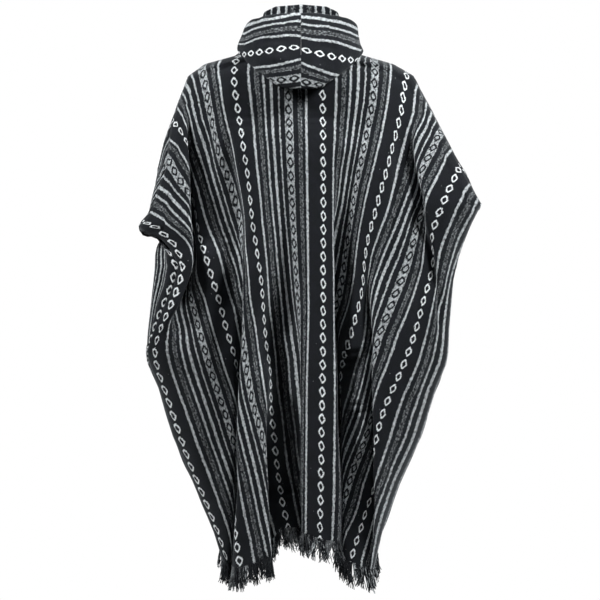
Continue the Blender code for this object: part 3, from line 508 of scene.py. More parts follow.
# Hood sections: turn from centre back in degrees, then for each point round the roll its
# sideways reach, its backward reach and its height in the photograph
HOOD_POINTS = ("fall", "tip", "swell", "cheek", "lip", "hem")
HOOD_SECTIONS = [
    (0, {"fall": (0.116, 0.130, 73.0), "tip": (0.120, 0.158, 90.0), "swell": (0.128, 0.164, 70.0),
         "cheek": (0.124, 0.150, 40.0), "lip": (0.112, 0.122, 13.0), "hem": (0.100, 0.100, 19.0)}),
    (22, {"fall": (0.120, 0.132, 71.0), "tip": (0.124, 0.163, 87.0), "swell": (0.130, 0.168, 68.0),
          "cheek": (0.125, 0.152, 39.0), "lip": (0.112, 0.122, 14.0), "hem": (0.100, 0.100, 20.0)}),
    (42, {"fall": (0.126, 0.136, 62.0), "tip": (0.128, 0.168, 74.0), "swell": (0.132, 0.170, 61.0),
          "cheek": (0.126, 0.154, 38.0), "lip": (0.113, 0.122, 16.0), "hem": (0.100, 0.100, 22.0)}),
    (68, {"fall": (0.132, 0.134, 51.0), "tip": (0.137, 0.160, 57.0), "swell": (0.137, 0.162, 51.0),
          "cheek": (0.129, 0.150, 36.0), "lip": (0.116, 0.120, 20.0), "hem": (0.102, 0.100, 26.0)}),
    (90, {"fall": (0.131, 0.120, 48.0), "tip": (0.138, 0.140, 49.0), "swell": (0.137, 0.140, 44.0),
          "cheek": (0.129, 0.130, 35.0), "lip": (0.118, 0.118, 26.0), "hem": (0.105, 0.104, 32.0)}),
    (118, {"fall": (0.134, 0.166, 59.0), "tip": (0.140, 0.172, 57.0), "swell": (0.140, 0.170, 50.0),
           "cheek": (0.134, 0.160, 41.0), "lip": (0.122, 0.142, 31.0), "hem": (0.114, 0.130, 37.0)}),
]

# Top of the front neck band: turn from centre back in degrees, sideways and forward reach, and
# height in the photograph
BAND_TOP = [
    (122, 0.110, 0.122, 32.0), (130, 0.104, 0.110, 12.0), (145, 0.096, 0.102, 6.5),
    (180, 0.092, 0.098, 4.5),
]
# Trim of the hood's right side by its height: down, photograph pixels outwards
HOOD_TRIM = [(18, 2.0), (26, 1.5), (32, -0.5), (40, -3.5), (46, -4.0), (51, -1.0), (56, 0.0)]
SEAM_RISE = 0.0019  # the hood and the band stand this much over the panels' neck edge


def table(rows, key, column=1):
    """Reads a column of a table at a key, in straight steps between its rows."""
    if key <= rows[0][0]:
        return rows[0][column]
    for low, high in zip(rows, rows[1:]):
        if key <= high[0]:
            share = (key - low[0]) / (high[0] - low[0])
            return low[column] + share * (high[column] - low[column])
    return rows[-1][column]


def side(across):
    """Turns a photograph column into metres from the middle of the back."""
    return (across - CENTRE_ACROSS) * PIXEL


def height(down):
    """Turns a photograph row into metres above the shoulder line."""
    return (SHOULDER_DOWN - down) * PIXEL


def placed(points):
    """Moves points along the camera's rays, so that each is seen at its column and row."""
    middle = numpy.array((side(PHOTO_SIZE / 2), 0.0, height(PHOTO_SIZE / 2)))
    reach = (CAMERA_DISTANCE + points[..., 1:2] - FOCUS_DEPTH) / CAMERA_DISTANCE
    result = middle + (points - middle) * reach
    result[..., 1] = points[..., 1]
    return result


def half_width(down, across_side):
    """The worn form's reach to one side at a height."""
    column = 1 if across_side < 0 else 2
    return abs(side(table(OUTLINE, down, column)))


def form_depth(x, down, column=1):
    """How far the smooth worn form lies behind (column 1) or before (column 2) its middle."""
    share = min(1.0, abs(x) / half_width(down, x))
    power = SUPERELLIPSE + (table(LEFT_FULLNESS, down) if x < 0 else 0.0)
    return table(BODY_DEPTH, down, column) * (1 - share**power) ** (1 / power)


def fold_points(fold, down):
    """A fold's cloth at a height: warp, x and height over the form for each of its points."""
    rows = fold["rows"]
    if not rows[0][0] <= down <= rows[-1][0]:
        return []
    edge = side(table(rows, down, 1))
    left_warp = table(rows, down, 2)
    right_warp = table(rows, down, 3)
    hidden = (right_warp - left_warp) * STRIPE_REPEAT
    inward = 1 if fold["over"] == "left" else -1
    front_warp, rear_warp = (left_warp, right_warp) if inward == 1 else (right_warp, left_warp)
    lift = fold["lift"] * min(1.0, hidden / (SHALLOW + OPENS_OVER))
    drop = min(fold["step"], STEP_SHARE * hidden)
    pocket = lift - min(POCKET_DEPTH, (hidden + drop) / 2)
    opened = min(1.0, max(0.0, (hidden - SHALLOW) / OPENS_OVER))
    turn = (hidden + drop) / 2 / hidden
    points = [(front_warp, edge, lift)]
    for nudge, reach in POCKET_TURN:
        share = turn + nudge if opened > 0 else 0.5 + nudge
        flat = edge + inward * share * UNDERLAP
        x = flat + opened * (edge + inward * reach - flat)
        over = (1 - opened) * (lift - share * drop) + opened * pocket
        points.append((front_warp + share * (rear_warp - front_warp), x, over))
    points.append((rear_warp, edge + inward * UNDERLAP, lift - drop))
    return points if inward == 1 else points[::-1]


def unfolded(down, folds, hidden):
    """The back's known warps at a height, as warp and x, and as warp and height over the form."""
    lines = [(warp, x) for points in folds for warp, x, _ in points]
    marks = [(warp, over) for points in folds for warp, _, over in points]
    lines += [(warp, side(value)) for warp, value in read_at(STRIPE_LINES, down, hidden)]
    marks += read_at(SWELLS, down, hidden)
    return sorted(lines), sorted(marks)


def read_at(curves, down, hidden):
    """Warp and value of each curve that reaches a height and lies in no hidden stretch."""
    return [
        (warp, table(rows, down)) for warp, rows in curves
        if rows[0][0] <= down <= rows[-1][0] and not any(a < warp < b for a, b in hidden)]


def ease_of(fold, down):
    """How far a fold has formed at a height, from 0 where it starts or ends in the cloth to 1."""
    first, last = fold["rows"][0][0], fold["rows"][-1][0]
    share = min((down - first) / FOLD_EASE, (last - down) / FOLD_EASE if last < HEM_FOLD_DOWN else 1.0)
    share = min(1.0, max(0.0, share))
    return share * share * (3 - 2 * share)


@functools.lru_cache(maxsize=None)
def back_section(down):
    """The back panel's section at a height, as warp and x, and as warp and height over the form."""
    left = (table(LEFT_EDGE, down, 2), side(table(LEFT_EDGE, down, 1)), 0.0)
    right = (table(RIGHT_EDGE, down, 2), side(table(RIGHT_EDGE, down, 1)), 0.0)
    edges = [
        (LEFT_SELVEDGE - 1, left[0] + PATTERN_MARGIN),
        (right[0] - PATTERN_MARGIN, RIGHT_SELVEDGE + 1),
    ]
    laid = []
    for fold in FOLDS.values():
        points = fold_points(fold, down)
        if points and points[0][0] > left[0] + EDGE_MARGIN and points[-1][0] < right[0] - EDGE_MARGIN:
            gap = (points[0][0] - FOLD_MARGIN, points[-1][0] + FOLD_MARGIN)
            laid.append((ease_of(fold, down), points, gap))
    formed = []
    for ease, points, _ in laid:
        if ease < 1:
            others = [other for _, other, _ in laid if other is not points]
            hidden = edges + [gap for _, other, gap in laid if other is not points]
            lines, marks = unfolded(down, others + [[left], [right]], hidden)
            rest = 1 - ease
            points = [
                (warp, x * ease + table(lines, warp) * rest, over * ease + table(marks, warp) * rest)
                for warp, x, over in points]
        formed.append(points)
    return unfolded(down, formed + [[left], [right]], edges + [gap for _, _, gap in laid])


def back_point_raw(section, warp, down):
    """A point of the back panel before its creases are rounded: x and depth."""
    lines, marks = section
    x = table(lines, warp)
    return x, form_depth(x, down) + table(marks, warp)


def back_point(warp, down):
    """A point of the back panel, its creases rounded by averages along and down the cloth."""
    climb = SMOOTH_DOWN * min(1.0, (down - top_down(warp)) / SMOOTH_DOWN)
    total = x = depth = 0.0
    for rise, rise_weight in ((-climb, 1), (0.0, 2), (climb, 1)):
        section = back_section(round(down + rise, 2))
        first, last = section[0][0][0], section[0][-1][0]
        room = max(0.0, min(1.0, min(warp - first, last - warp) / CREASE_ROUND[-1][0]))
        weight_here = rise_weight * room if rise else rise_weight
        for shift, weight in CREASE_ROUND:
            one_x, one_depth = back_point_raw(section, warp + shift * room, down + rise)
            x += one_x * weight * weight_here
            depth += one_depth * weight * weight_here
            total += weight * weight_here
    return x / total, -depth / total, height(down)


def top_down(warp):
    """Photograph row of the back panel's top edge at a warp: shoulder seam, neck, shoulder seam."""
    if warp < NECK_LEFT:
        rows = [(edge_warp, down) for down, _, edge_warp in reversed(LEFT_SHOULDER)]
        return table(rows, warp)
    if warp > NECK_RIGHT:
        rows = [(edge_warp, down) for down, _, edge_warp in RIGHT_SHOULDER]
        return table(rows, warp)
    share = (warp - NECK_LEFT) / (NECK_RIGHT - NECK_LEFT)
    return NECK_DOWN + NECK_DIP_BACK * math.sin(math.pi * share)


def turn_of_edge(down, rows, across_side):
    """Turn round the form of a side seam, in degrees from the front's middle."""
    reach = min(1.0, abs(side(table(rows, down, 1))) / half_width(down, across_side))
    return 180.0 - math.degrees(math.asin(reach))


def cuff_shift(rows, down, share):
    """How far round an open cuff draws the front's edge forward, in degrees."""
    if share > CUFF_REACH:
        return 0.0
    return table(rows, down) * (1 - share / CUFF_REACH) ** 2


def front_point(warp, down):
    """A point of the front panel: an even spread round the form, with soft ripples."""
    left = table(LEFT_EDGE, down, 2)
    right = table(RIGHT_EDGE, down, 2)
    share = min(1.0, max(0.0, (warp - left) / (right - left)))
    start = -turn_of_edge(down, LEFT_EDGE, -1)
    end = turn_of_edge(down, RIGHT_EDGE, 1)
    turn = start + share * (end - start)
    turn += cuff_shift(LEFT_CUFF, down, share) - cuff_shift(RIGHT_CUFF, down, 1 - share)
    turn += table(LEFT_ROLL, down) * math.sin(math.pi * min(1.0, share / ROLL_REACH))
    turn = math.radians(turn)
    reach = half_width(down, math.sin(turn))
    depth = table(BODY_DEPTH, down, 2)
    run = math.radians(end - start) * math.hypot(reach, depth) / math.sqrt(2)
    spare = max(0.0, ((right - left) * STRIPE_REPEAT / run) ** 2 - 1)
    fit = run / FRONT_FOLDS / (2 * math.pi) * math.sqrt(2 * spare)
    drift = RIPPLE_DRIFT * math.sin(down / DRIFT_ROWS)
    phase = share + RIPPLE_UNEVEN * math.sin(2 * math.pi * share) + drift
    wave = 0.5 - 0.5 * math.cos(2 * math.pi * FRONT_FOLDS * phase)
    fade = min(1.0, min(share, 1 - share) / RIPPLE_EDGE)
    inward = min(RIPPLE_DEPTH, RIPPLE_FIT * fit) * wave * fade
    x = math.sin(turn) * reach
    front = math.cos(turn) > 0
    y = form_depth(x, down, 2) if front else -form_depth(x, down, 1)
    return x - math.sin(turn) * inward, y - math.cos(turn) * inward, height(down)


def front_top(warp):
    """Photograph row of the front panel's top edge at a warp."""
    if NECK_LEFT < warp < NECK_RIGHT:
        share = (warp - NECK_LEFT) / (NECK_RIGHT - NECK_LEFT)
        return NECK_DOWN + NECK_DIP_FRONT * math.sin(math.pi * share) ** 0.8
    return top_down(warp)


def curve_point(points, share):
    """A point on a smooth curve through a list of points."""
    place = share * (len(points) - 1)
    index = min(int(place), len(points) - 2)
    part = place - index
    before = points[max(index - 1, 0)]
    start = points[index]
    end = points[index + 1]
    after = points[min(index + 2, len(points) - 1)]
    result = []
    for a, b, c, d in zip(before, start, end, after):
        slope_in = (c - a) / 2
        slope_out = (d - b) / 2
        cube = 2 * b - 2 * c + slope_in + slope_out
        square = 3 * c - 3 * b - 2 * slope_in - slope_out
        result.append(((cube * part + square) * part + slope_in) * part + b)
    return result


def neck_point(turn, mirror):
    """A point just over the panels' neck edge, at a turn from centre back."""
    end = NECK_LEFT if mirror < 0 else NECK_RIGHT
    if turn <= 90:
        middle, place = back_point(NECK_MIDDLE, top_down(NECK_MIDDLE)), turn / 90
        warp = NECK_MIDDLE + (end - NECK_MIDDLE) * place
        x, y, z = back_point(warp, top_down(warp))
    else:
        middle, place = front_point(NECK_MIDDLE, front_top(NECK_MIDDLE)), (180 - turn) / 90
        warp = NECK_MIDDLE + (end - NECK_MIDDLE) * place
        x, y, z = front_point(warp, front_top(warp))
    return x - middle[0] * (1 - place), y, z + SEAM_RISE


def ring_point(turn, mirror, wide, deep, down):
    """A point at a turn round the neck, from its reach sideways and backward."""
    angle = math.radians(turn)
    return mirror * math.sin(angle) * wide, -math.cos(angle) * deep, height(down)


def spread(low, high, count, stops):
    """Even steps from low to high, with the nearest steps moved onto the stops."""
    values = [low + (high - low) * step / count for step in range(count + 1)]
    for stop in stops:
        nearest = min(range(len(values)), key=lambda index: abs(values[index] - stop))
        values[nearest] = stop
    return values


def panel_warps():
    """Warps of a panel's columns, its outer ones clear of the side seams."""
    trim = SEAM_GAP / 2 / STRIPE_REPEAT
    return spread(LEFT_SELVEDGE + trim, RIGHT_SELVEDGE - trim, PANEL_COLUMNS, (NECK_LEFT, NECK_RIGHT))


def panel_grid(point, top, hem, warps):
    """Rows of points down a panel, from just under its top edge to its hem."""
    starts = [top(warp) + SEAM_GAP / 2 / PIXEL for warp in warps]
    ends = [table(hem, warp) for warp in warps]
    rows = []
    for row in range(PANEL_ROWS + 1):
        share = row / PANEL_ROWS
        rows.append([
            point(warp, start + (end - start) * share)
            for warp, start, end in zip(warps, starts, ends)])
    return numpy.array(rows)


def surface_normals(points):
    """Unit normals of a grid of points, from its steps along the rows and the columns."""
    down = numpy.gradient(points, axis=0)
    across = numpy.gradient(points, axis=1)
    normals = numpy.cross(across, -down)
    return normals / numpy.maximum(numpy.linalg.norm(normals, axis=2, keepdims=True), 1e-9)


def lengths_up(points):
    """Distance of each point from the hem, along its column."""
    steps = numpy.linalg.norm(numpy.diff(points, axis=0), axis=2)
    up = numpy.cumsum(steps[::-1], axis=0)[::-1]
    return numpy.vstack([up, numpy.zeros((1, points.shape[1]))])


def nearest_repeat(value, repeat):
    """What is left of a value beyond its nearest whole number of repeats."""
    return (value + repeat / 2) % repeat - repeat / 2


def diamond_shift(points, lengths, warps):
    """How far the pattern slides along each column so that the diamonds lie on their rows."""
    shifts = []
    for warp, down in DIAMOND_ROWS:
        column = min(range(len(warps)), key=lambda index: abs(warps[index] - warp))
        rise = points[:, column, 2]
        length = numpy.interp(height(down), rise[::-1], lengths[::-1, column])
        shifts.append(-nearest_repeat(length, DIAMOND_PITCH))
    return numpy.interp(warps, [warp for warp, _ in DIAMOND_ROWS], shifts)


def crease_heights(across, down, creases):
    """Height of the listed creases at photograph positions, in metres."""
    total = numpy.zeros_like(across)
    for crease in creases:
        nearest = numpy.full_like(across, 1e9)
        along = numpy.zeros_like(across)
        path = crease["path"]
        for index, ((x0, y0), (x1, y1)) in enumerate(zip(path, path[1:])):
            run = (x1 - x0) ** 2 + (y1 - y0) ** 2
            share = numpy.clip(((across - x0) * (x1 - x0) + (down - y0) * (y1 - y0)) / run, 0, 1)
            gap = numpy.hypot(across - x0 - share * (x1 - x0), down - y0 - share * (y1 - y0))
            closer = gap < nearest
            nearest = numpy.where(closer, gap, nearest)
            along = numpy.where(closer, (index + share) / (len(path) - 1), along)
        fade = numpy.sin(numpy.pi * numpy.clip(along, *CREASE_ENDS)) ** CREASE_FADE
        total += crease["height"] * fade * numpy.exp(-((nearest / crease["width"]) ** 2))
    return total


def slack(across, down, seed):
    """Slow uneven waves of resting cloth, longer down the cloth than across it, from -1 to 1."""
    draw = random.Random(seed)
    total = numpy.zeros_like(across)
    for _ in range(SLACK_WAVES):
        wide = draw.uniform(*SLACK_WIDTH)
        tall = draw.uniform(*SLACK_HEIGHT)
        lean = draw.uniform(-SLACK_LEAN, SLACK_LEAN)
        start = draw.uniform(0, 2 * math.pi)
        total += numpy.sin(2 * math.pi * ((across + lean * down) / wide + down / tall) + start)
    return total / SLACK_WAVES


def edge_fade(shape, top, sides, hem):
    """Nought at a grid's edges and one inside, with a width in cells at the top, sides and hem."""
    rows, columns = shape
    row = numpy.arange(rows)[:, None]
    column = numpy.arange(columns)[None, :]
    fade = numpy.clip(row / top, 0, 1) * numpy.clip((rows - 1 - row) / hem, 0, 1)
    return fade * numpy.clip(numpy.minimum(column, columns - 1 - column) / sides, 0, 1)


def tucked_seams(front, back):
    """Moves the front's shoulder and side edges in, under the back's, over the nearest cells."""
    result = front.copy()
    last = front.shape[1] - 1
    neck = [index for index, warp in enumerate(panel_warps()) if NECK_LEFT < warp < NECK_RIGHT]
    for edge, step in ((0, 1), (last, -1)):
        along = numpy.gradient(front[:, edge], axis=0)
        across = front[:, edge + 2 * step] - back[:, edge + 2 * step]
        inward = inward_normals(along, across, front[:, edge])
        for cell, share in enumerate(TUCK_SHARES):
            result[:, edge + step * cell] += inward * SEAM_TUCK * share
    along = numpy.gradient(front[0], axis=0)
    across = front[2] - back[2]
    inward = inward_normals(along, across, front[0])
    inward[neck[0] + 1:neck[-1]] = 0.0
    for cell, share in enumerate(TUCK_SHARES):
        result[cell] += inward * SEAM_TUCK * share
    return result


def inward_normals(along, across, points):
    """Unit directions into the garment at a seam."""
    normals = numpy.cross(along, across)
    normals /= numpy.maximum(numpy.linalg.norm(normals, axis=1, keepdims=True), 1e-9)
    middle = points * (0.0, 0.0, 1.0) - (0.0, 0.0, INSIDE_DROP)
    outward = numpy.sum(normals * (points - middle), axis=1) > 0
    return numpy.where(outward[:, None], -normals, normals)


def woven_cloth(name, points, warps, lengths, material):
    """A cloth wall on a grid of points. Its UV map holds each point's warp and length along it."""
    points = placed(points)
    rows, columns = points.shape[:2]
    build = bmesh.new()
    bmesh.ops.create_grid(build, x_segments=columns - 1, y_segments=rows - 1, size=0.5)
    weave = build.loops.layers.uv.new("weave")
    cells = {}
    for vertex in build.verts:
        row = round((0.5 - vertex.co.y) * (rows - 1))
        column = round((vertex.co.x + 0.5) * (columns - 1))
        cells[vertex.index] = (row, column)
        vertex.co = points[row][column]
    for face in build.faces:
        face.smooth = True
        for loop in face.loops:
            row, column = cells[loop.vert.index]
            loop[weave].uv = (warps[row][column], lengths[row][column])
    mesh = bpy.data.meshes.new(name)
    build.to_mesh(mesh)
    build.free()
    mesh.materials.append(material)
    piece = bpy.data.objects.new(name, mesh)
    bpy.context.scene.collection.objects.link(piece)
    thickness = piece.modifiers.new("wall", "SOLIDIFY")
    thickness.thickness = WALL
    thickness.offset = -1
    return piece


def make_panels(material):
    """The back and front panels, with their creases, and the grids that the fringes hang from."""
    warps = panel_warps()
    back = panel_grid(back_point, top_down, BACK_HEM, warps)
    front = panel_grid(front_point, front_top, FRONT_HEM, warps)
    front = tucked_seams(front, back)
    lengths = lengths_up(back)
    lengths += diamond_shift(back, lengths, warps)
    pieces = []
    for name, grid, creases, seed, length in (
            ("back_cloth", back, BACK_CREASES, 11, lengths),
            ("front_cloth", front, FRONT_CREASES, 12, lengths_up(front))):
        across = grid[:, :, 0] / PIXEL + CENTRE_ACROSS
        down = SHOULDER_DOWN - grid[:, :, 2] / PIXEL
        relief = crease_heights(across, down, creases) + SLACK_DEPTH * slack(across, down, seed)
        relief *= edge_fade(relief.shape, *PANEL_FADE)
        outward = surface_normals(grid) * (1 if grid is back else -1)
        grid += outward * relief[:, :, None]
        order = slice(None) if grid is back else slice(None, None, -1)
        across_warps = numpy.tile(warps, (PANEL_ROWS + 1, 1))
        if grid is front:
            lost = numpy.interp(down, *zip(*LEFT_ALLOWANCE))
            beyond = (across_warps - LEFT_SELVEDGE) / ALLOWANCE_REACH
            across_warps += lost * numpy.exp(-(beyond ** 2))
        pieces.append(woven_cloth(
            name, grid[:, order], across_warps[:, order], length[:, order], material))
    return pieces, back, front, warps


def hood_stripe(across, down, rows):
    """Warp of the cloth at a photograph position on the folded hood."""
    stripes = sorted((table(rows, across, item), warp) for item, warp in enumerate(HOOD_WARPS, 1))
    first, last = stripes[0], stripes[-1]
    step = PIXEL / STRIPE_REPEAT
    if down < first[0]:
        return first[1] + (first[0] - down) * step
    if down > last[0]:
        return last[1] - (down - last[0]) * step
    return table(stripes, down)


def hood_profile(turn, mirror):
    """Points down the hood's roll at one turn from centre back, from its neck seam to its face edge."""
    profile = [neck_point(turn, mirror)]
    for point in HOOD_POINTS:
        wide, deep, down = (
            table([(angle, section[point][item]) for angle, section in HOOD_SECTIONS], turn)
            for item in range(3))
        if mirror > 0:
            trim = table(HOOD_TRIM, down) * math.sin(math.radians(min(turn, 90))) ** 4
            wide += trim * PIXEL
        profile.append(ring_point(turn, mirror, wide, deep, down))
    return [curve_point(profile, row / HOOD_ROWS) for row in range(HOOD_ROWS + 1)]


def hood_warps(points, mirror):
    """Warps of the hood's cloth: by the photograph where it shows, and by its length beyond."""
    rows = HOOD_STRIPES_LEFT if mirror < 0 else HOOD_STRIPES_RIGHT
    result = numpy.zeros(points.shape[:2])
    tip, lip = (
        round(HOOD_ROWS * (HOOD_POINTS.index(point) + 1) / len(HOOD_POINTS)) for point in ("tip", "lip"))
    for column in range(points.shape[1]):
        line = points[:, column]
        for row in range(tip, lip + 1):
            x, _, z = line[row]
            result[row, column] = hood_stripe(x / PIXEL + CENTRE_ACROSS, SHOULDER_DOWN - z / PIXEL, rows)
        for row in range(tip - 1, -1, -1):
            gap = numpy.linalg.norm(line[row] - line[row + 1])
            result[row, column] = result[row + 1, column] - gap / STRIPE_REPEAT
        for row in range(lip + 1, HOOD_ROWS + 1):
            gap = numpy.linalg.norm(line[row] - line[row - 1])
            result[row, column] = result[row - 1, column] + gap / STRIPE_REPEAT
    return result


def with_allowance(points, outward):
    """Adds the seam allowance at a grid's first column, turned in behind the seam."""
    turned = points[:, :1] - outward[:, :1] * SEAM_ALLOWANCE
    return numpy.concatenate([turned, points], axis=1)


def hood_half(name, mirror, material):
    """One half of the hood, folded down the back, from the centre seam to the front of the neck."""
    last = HOOD_SECTIONS[-1][0]
    lines = [hood_profile(last * column / HOOD_COLUMNS, mirror) for column in range(HOOD_COLUMNS + 1)]
    points = numpy.array(lines).transpose(1, 0, 2)
    points[:, :, 0] += mirror * HOOD_SEAM_GAP / 2
    middle = points[round(HOOD_ROWS * HOOD_PATTERN_LINE)]
    steps = numpy.linalg.norm(numpy.diff(middle, axis=0), axis=1)
    run = numpy.concatenate([[0.0], numpy.cumsum(steps)]) - HOOD_FIRST_DIAMOND[mirror]
    lengths = numpy.tile(run, (HOOD_ROWS + 1, 1))
    warps = hood_warps(points, mirror)
    across = points[:, :, 0] / PIXEL + CENTRE_ACROSS
    down = SHOULDER_DOWN - points[:, :, 2] / PIXEL
    inward = surface_normals(points) * mirror
    waves = slack(across * HOOD_SLACK_SCALE, down * HOOD_SLACK_SCALE, HOOD_SLACK_SEED)
    relief = crease_heights(across, down, HOOD_CREASES) + HOOD_SLACK * waves
    roll = numpy.arange(HOOD_ROWS + 1) / HOOD_ROWS
    inside = numpy.clip((roll - HOOD_RELIEF_START) / HOOD_RELIEF_FADE, 0, 1)[:, None]
    relief *= inside * edge_fade(relief.shape, *HOOD_FADE)
    seam = numpy.exp(-((numpy.arange(HOOD_COLUMNS + 1) / SEAM_CELLS) ** 2))[None, :]
    relief -= SEAM_DIP * seam * inside
    points -= inward * relief[:, :, None]
    points = with_allowance(points, -inward)
    warps, lengths = (numpy.hstack([grid[:, :1], grid]) for grid in (warps, lengths))
    if mirror > 0:
        points, warps, lengths = points[::-1], warps[::-1], lengths[::-1]
    return woven_cloth(name, points, warps, lengths, material)


def band_half(name, mirror, material):
    """One half of the upright band round the front of the neck."""
    first, last = BAND_TOP[0][0], BAND_TOP[-1][0]
    lines = []
    for column in range(BAND_COLUMNS + 1):
        turn = first + (last - first) * column / BAND_COLUMNS
        foot = Vector(neck_point(turn, mirror))
        top = Vector(ring_point(turn, mirror, *(table(BAND_TOP, turn, item) for item in (1, 2, 3))))
        lines.append([foot.lerp(top, row / BAND_ROWS) for row in range(BAND_ROWS + 1)])
    points = numpy.array(lines).transpose(1, 0, 2)
    points[:, :, 0] += mirror * SEAM_GAP / 2
    from_seam = numpy.abs(points[:, :, 0])
    warps = BAND_SEAM_WARP + from_seam / STRIPE_REPEAT
    steps = numpy.linalg.norm(numpy.diff(points, axis=0), axis=2)
    lengths = numpy.vstack([numpy.zeros((1, points.shape[1])), numpy.cumsum(steps, axis=0)])
    if mirror > 0:
        points, warps, lengths = points[::-1], warps[::-1], lengths[::-1]
    return woven_cloth(name, points, warps, lengths, material)


def point_along(points, run, place):
    """The point of a row of points at a distance along it."""
    return Vector([numpy.interp(place, run, points[:, axis]) for axis in range(3)])


def fringe_yarns(name, grid, warps, material, seed):
    """Loose yarns below a hem, in tufts of uneven length, each bent by its own twist."""
    draw = random.Random(seed)
    curve = bpy.data.curves.new(name, "CURVE")
    curve.dimensions = "3D"
    curve.bevel_depth = 1.0
    curve.bevel_resolution = 0
    curve.use_fill_caps = True
    grid = placed(grid)
    hem, above = grid[-1], grid[-1 - SLOPE_ROWS]
    outward = surface_normals(grid[-SLOPE_ROWS:])[-1]
    places = []
    steps = numpy.linalg.norm(numpy.diff(hem, axis=0), axis=1)
    run = numpy.concatenate([[0.0], numpy.cumsum(steps)])
    place = 0.0
    tuft_end, tuft_lean, tuft_length, tuft_middle = 0.0, 0.0, 1.0, 0.0
    while place < run[-1]:
        if place >= tuft_end:
            tuft_end = place + draw.uniform(*TUFT_WIDTH)
            tuft_lean = draw.uniform(-TUFT_LEAN, TUFT_LEAN)
            tuft_length = draw.uniform(*TUFT_LENGTH)
            tuft_middle = (place + tuft_end) / 2
        root = point_along(hem, run, place)
        along = point_along(hem, run, place + SIDE_STEP) - root
        along = along.normalized() if along.length > 0 else Vector((1, 0, 0))
        away = point_along(outward, run, place)
        fall = (root - point_along(above, run, place)).normalized()
        length = FRINGE_LENGTH * tuft_length * draw.uniform(*YARN_LENGTH)
        spline = curve.splines.new("POLY")
        spline.points.add(YARN_STEPS)
        sway = draw.uniform(-YARN_SWAY, YARN_SWAY)
        curl = YARN_CURL * draw.uniform(-1, 1)
        swing = draw.uniform(-YARN_SWING, YARN_SWING)
        gather = TUFT_GATHER * (tuft_middle - place)
        for step in range(YARN_STEPS + 1):
            share = step / YARN_STEPS
            drop = fall.lerp(Vector((0, 0, -1)), min(1.0, share * FALL_PACE))
            bend = tuft_lean * share**TUFT_BEND + sway * share**YARN_BEND
            bend = along * (bend + curl * math.sin(share * CURL_TURN))
            point = root - fall * YARN_ROOT + (drop * share + bend) * length
            point += away * (swing * share * length - WALL / 2 + draw.uniform(-YARN_LIFT, YARN_LIFT))
            point += along * gather * min(1.0, GATHER_PACE * share)
            spline.points[step].co = (*point, 1)
            spline.points[step].radius = YARN_RADIUS * (1 - YARN_TAPER * share)
        places.append(numpy.interp(place, run, warps) + draw.uniform(-YARN_STRAY, YARN_STRAY))
        place += YARN_SPACING * draw.uniform(*SPACING_RANGE)
    holder = bpy.data.objects.new(name + "_curve", curve)
    bpy.context.scene.collection.objects.link(holder)
    graph = bpy.context.evaluated_depsgraph_get()
    mesh = bpy.data.meshes.new_from_object(holder.evaluated_get(graph))
    bpy.data.objects.remove(holder)
    mesh.name = name
    each = len(mesh.vertices) // len(places)
    weave = mesh.uv_layers.new(name="weave")
    for loop in mesh.loops:
        yarn, corner = divmod(loop.vertex_index, each)
        weave.data[loop.index].uv = (places[yarn], YARN_PATTERN_STEP * (corner // RING_CORNERS))
    mesh.shade_smooth()
    mesh.materials.clear()
    mesh.materials.append(material)
    piece = bpy.data.objects.new(name, mesh)
    bpy.context.scene.collection.objects.link(piece)
    return piece


class Shading:
    """Short forms for the nodes of one material."""

    def __init__(self, name):
        self.material = bpy.data.materials.new(name)
        self.material.use_nodes = True
        self.tree = self.material.node_tree
        self.shader = self.tree.nodes["Principled BSDF"]

    def node(self, kind, **inputs):
        """Adds a node and sets or links its inputs, named with underscores for spaces."""
        made = self.tree.nodes.new(kind)
        for key, value in inputs.items():
            self.feed(made.inputs[key.replace("_", " ")], value)
        return made

    def feed(self, socket, value):
        """Links an output to a socket, or sets a plain value on it."""
        if isinstance(value, bpy.types.NodeSocket):
            self.tree.links.new(value, socket)
        else:
            socket.default_value = value

    def math(self, operation, first, second=0.0, third=0.0, clamp=False):
        """A sum or other operation on numbers."""
        made = self.tree.nodes.new("ShaderNodeMath")
        made.operation = operation
        made.use_clamp = clamp
        for socket, value in zip(made.inputs, (first, second, third)):
            self.feed(socket, value)
        return made.outputs[0]

    def mix(self, share, first, second):
        """A blend of two colours."""
        made = self.tree.nodes.new("ShaderNodeMix")
        made.data_type = "RGBA"
        self.feed(made.inputs[0], share)
        self.feed(made.inputs[6], first)
        self.feed(made.inputs[7], second)
        return made.outputs[2]

    def times(self, first, second, clamp=False):
        """A product."""
        return self.math("MULTIPLY", first, second, clamp=clamp)

    def scaled(self, value, factor, added, clamp=False):
        """A value times a factor, plus another."""
        return self.math("MULTIPLY_ADD", value, factor, added, clamp=clamp)

    def gap(self, first, second):
        """How far two values lie apart."""
        return self.math("ABSOLUTE", self.math("SUBTRACT", first, second))

    def noise(self, place, kind):
        """Noise from 0 to 1 at a place, of a kind that gives its scale, detail and roughness."""
        scale, detail, roughness = kind
        made = self.node("ShaderNodeTexNoise", Vector=place, Scale=scale, Detail=detail, Roughness=roughness)
        return made.outputs[0]

    def levels(self, value, low, high):
        """Stretches a range of a value to 0 and 1."""
        made = self.node("ShaderNodeMapRange", Value=value, From_Min=low, From_Max=high)
        return made.outputs[0]


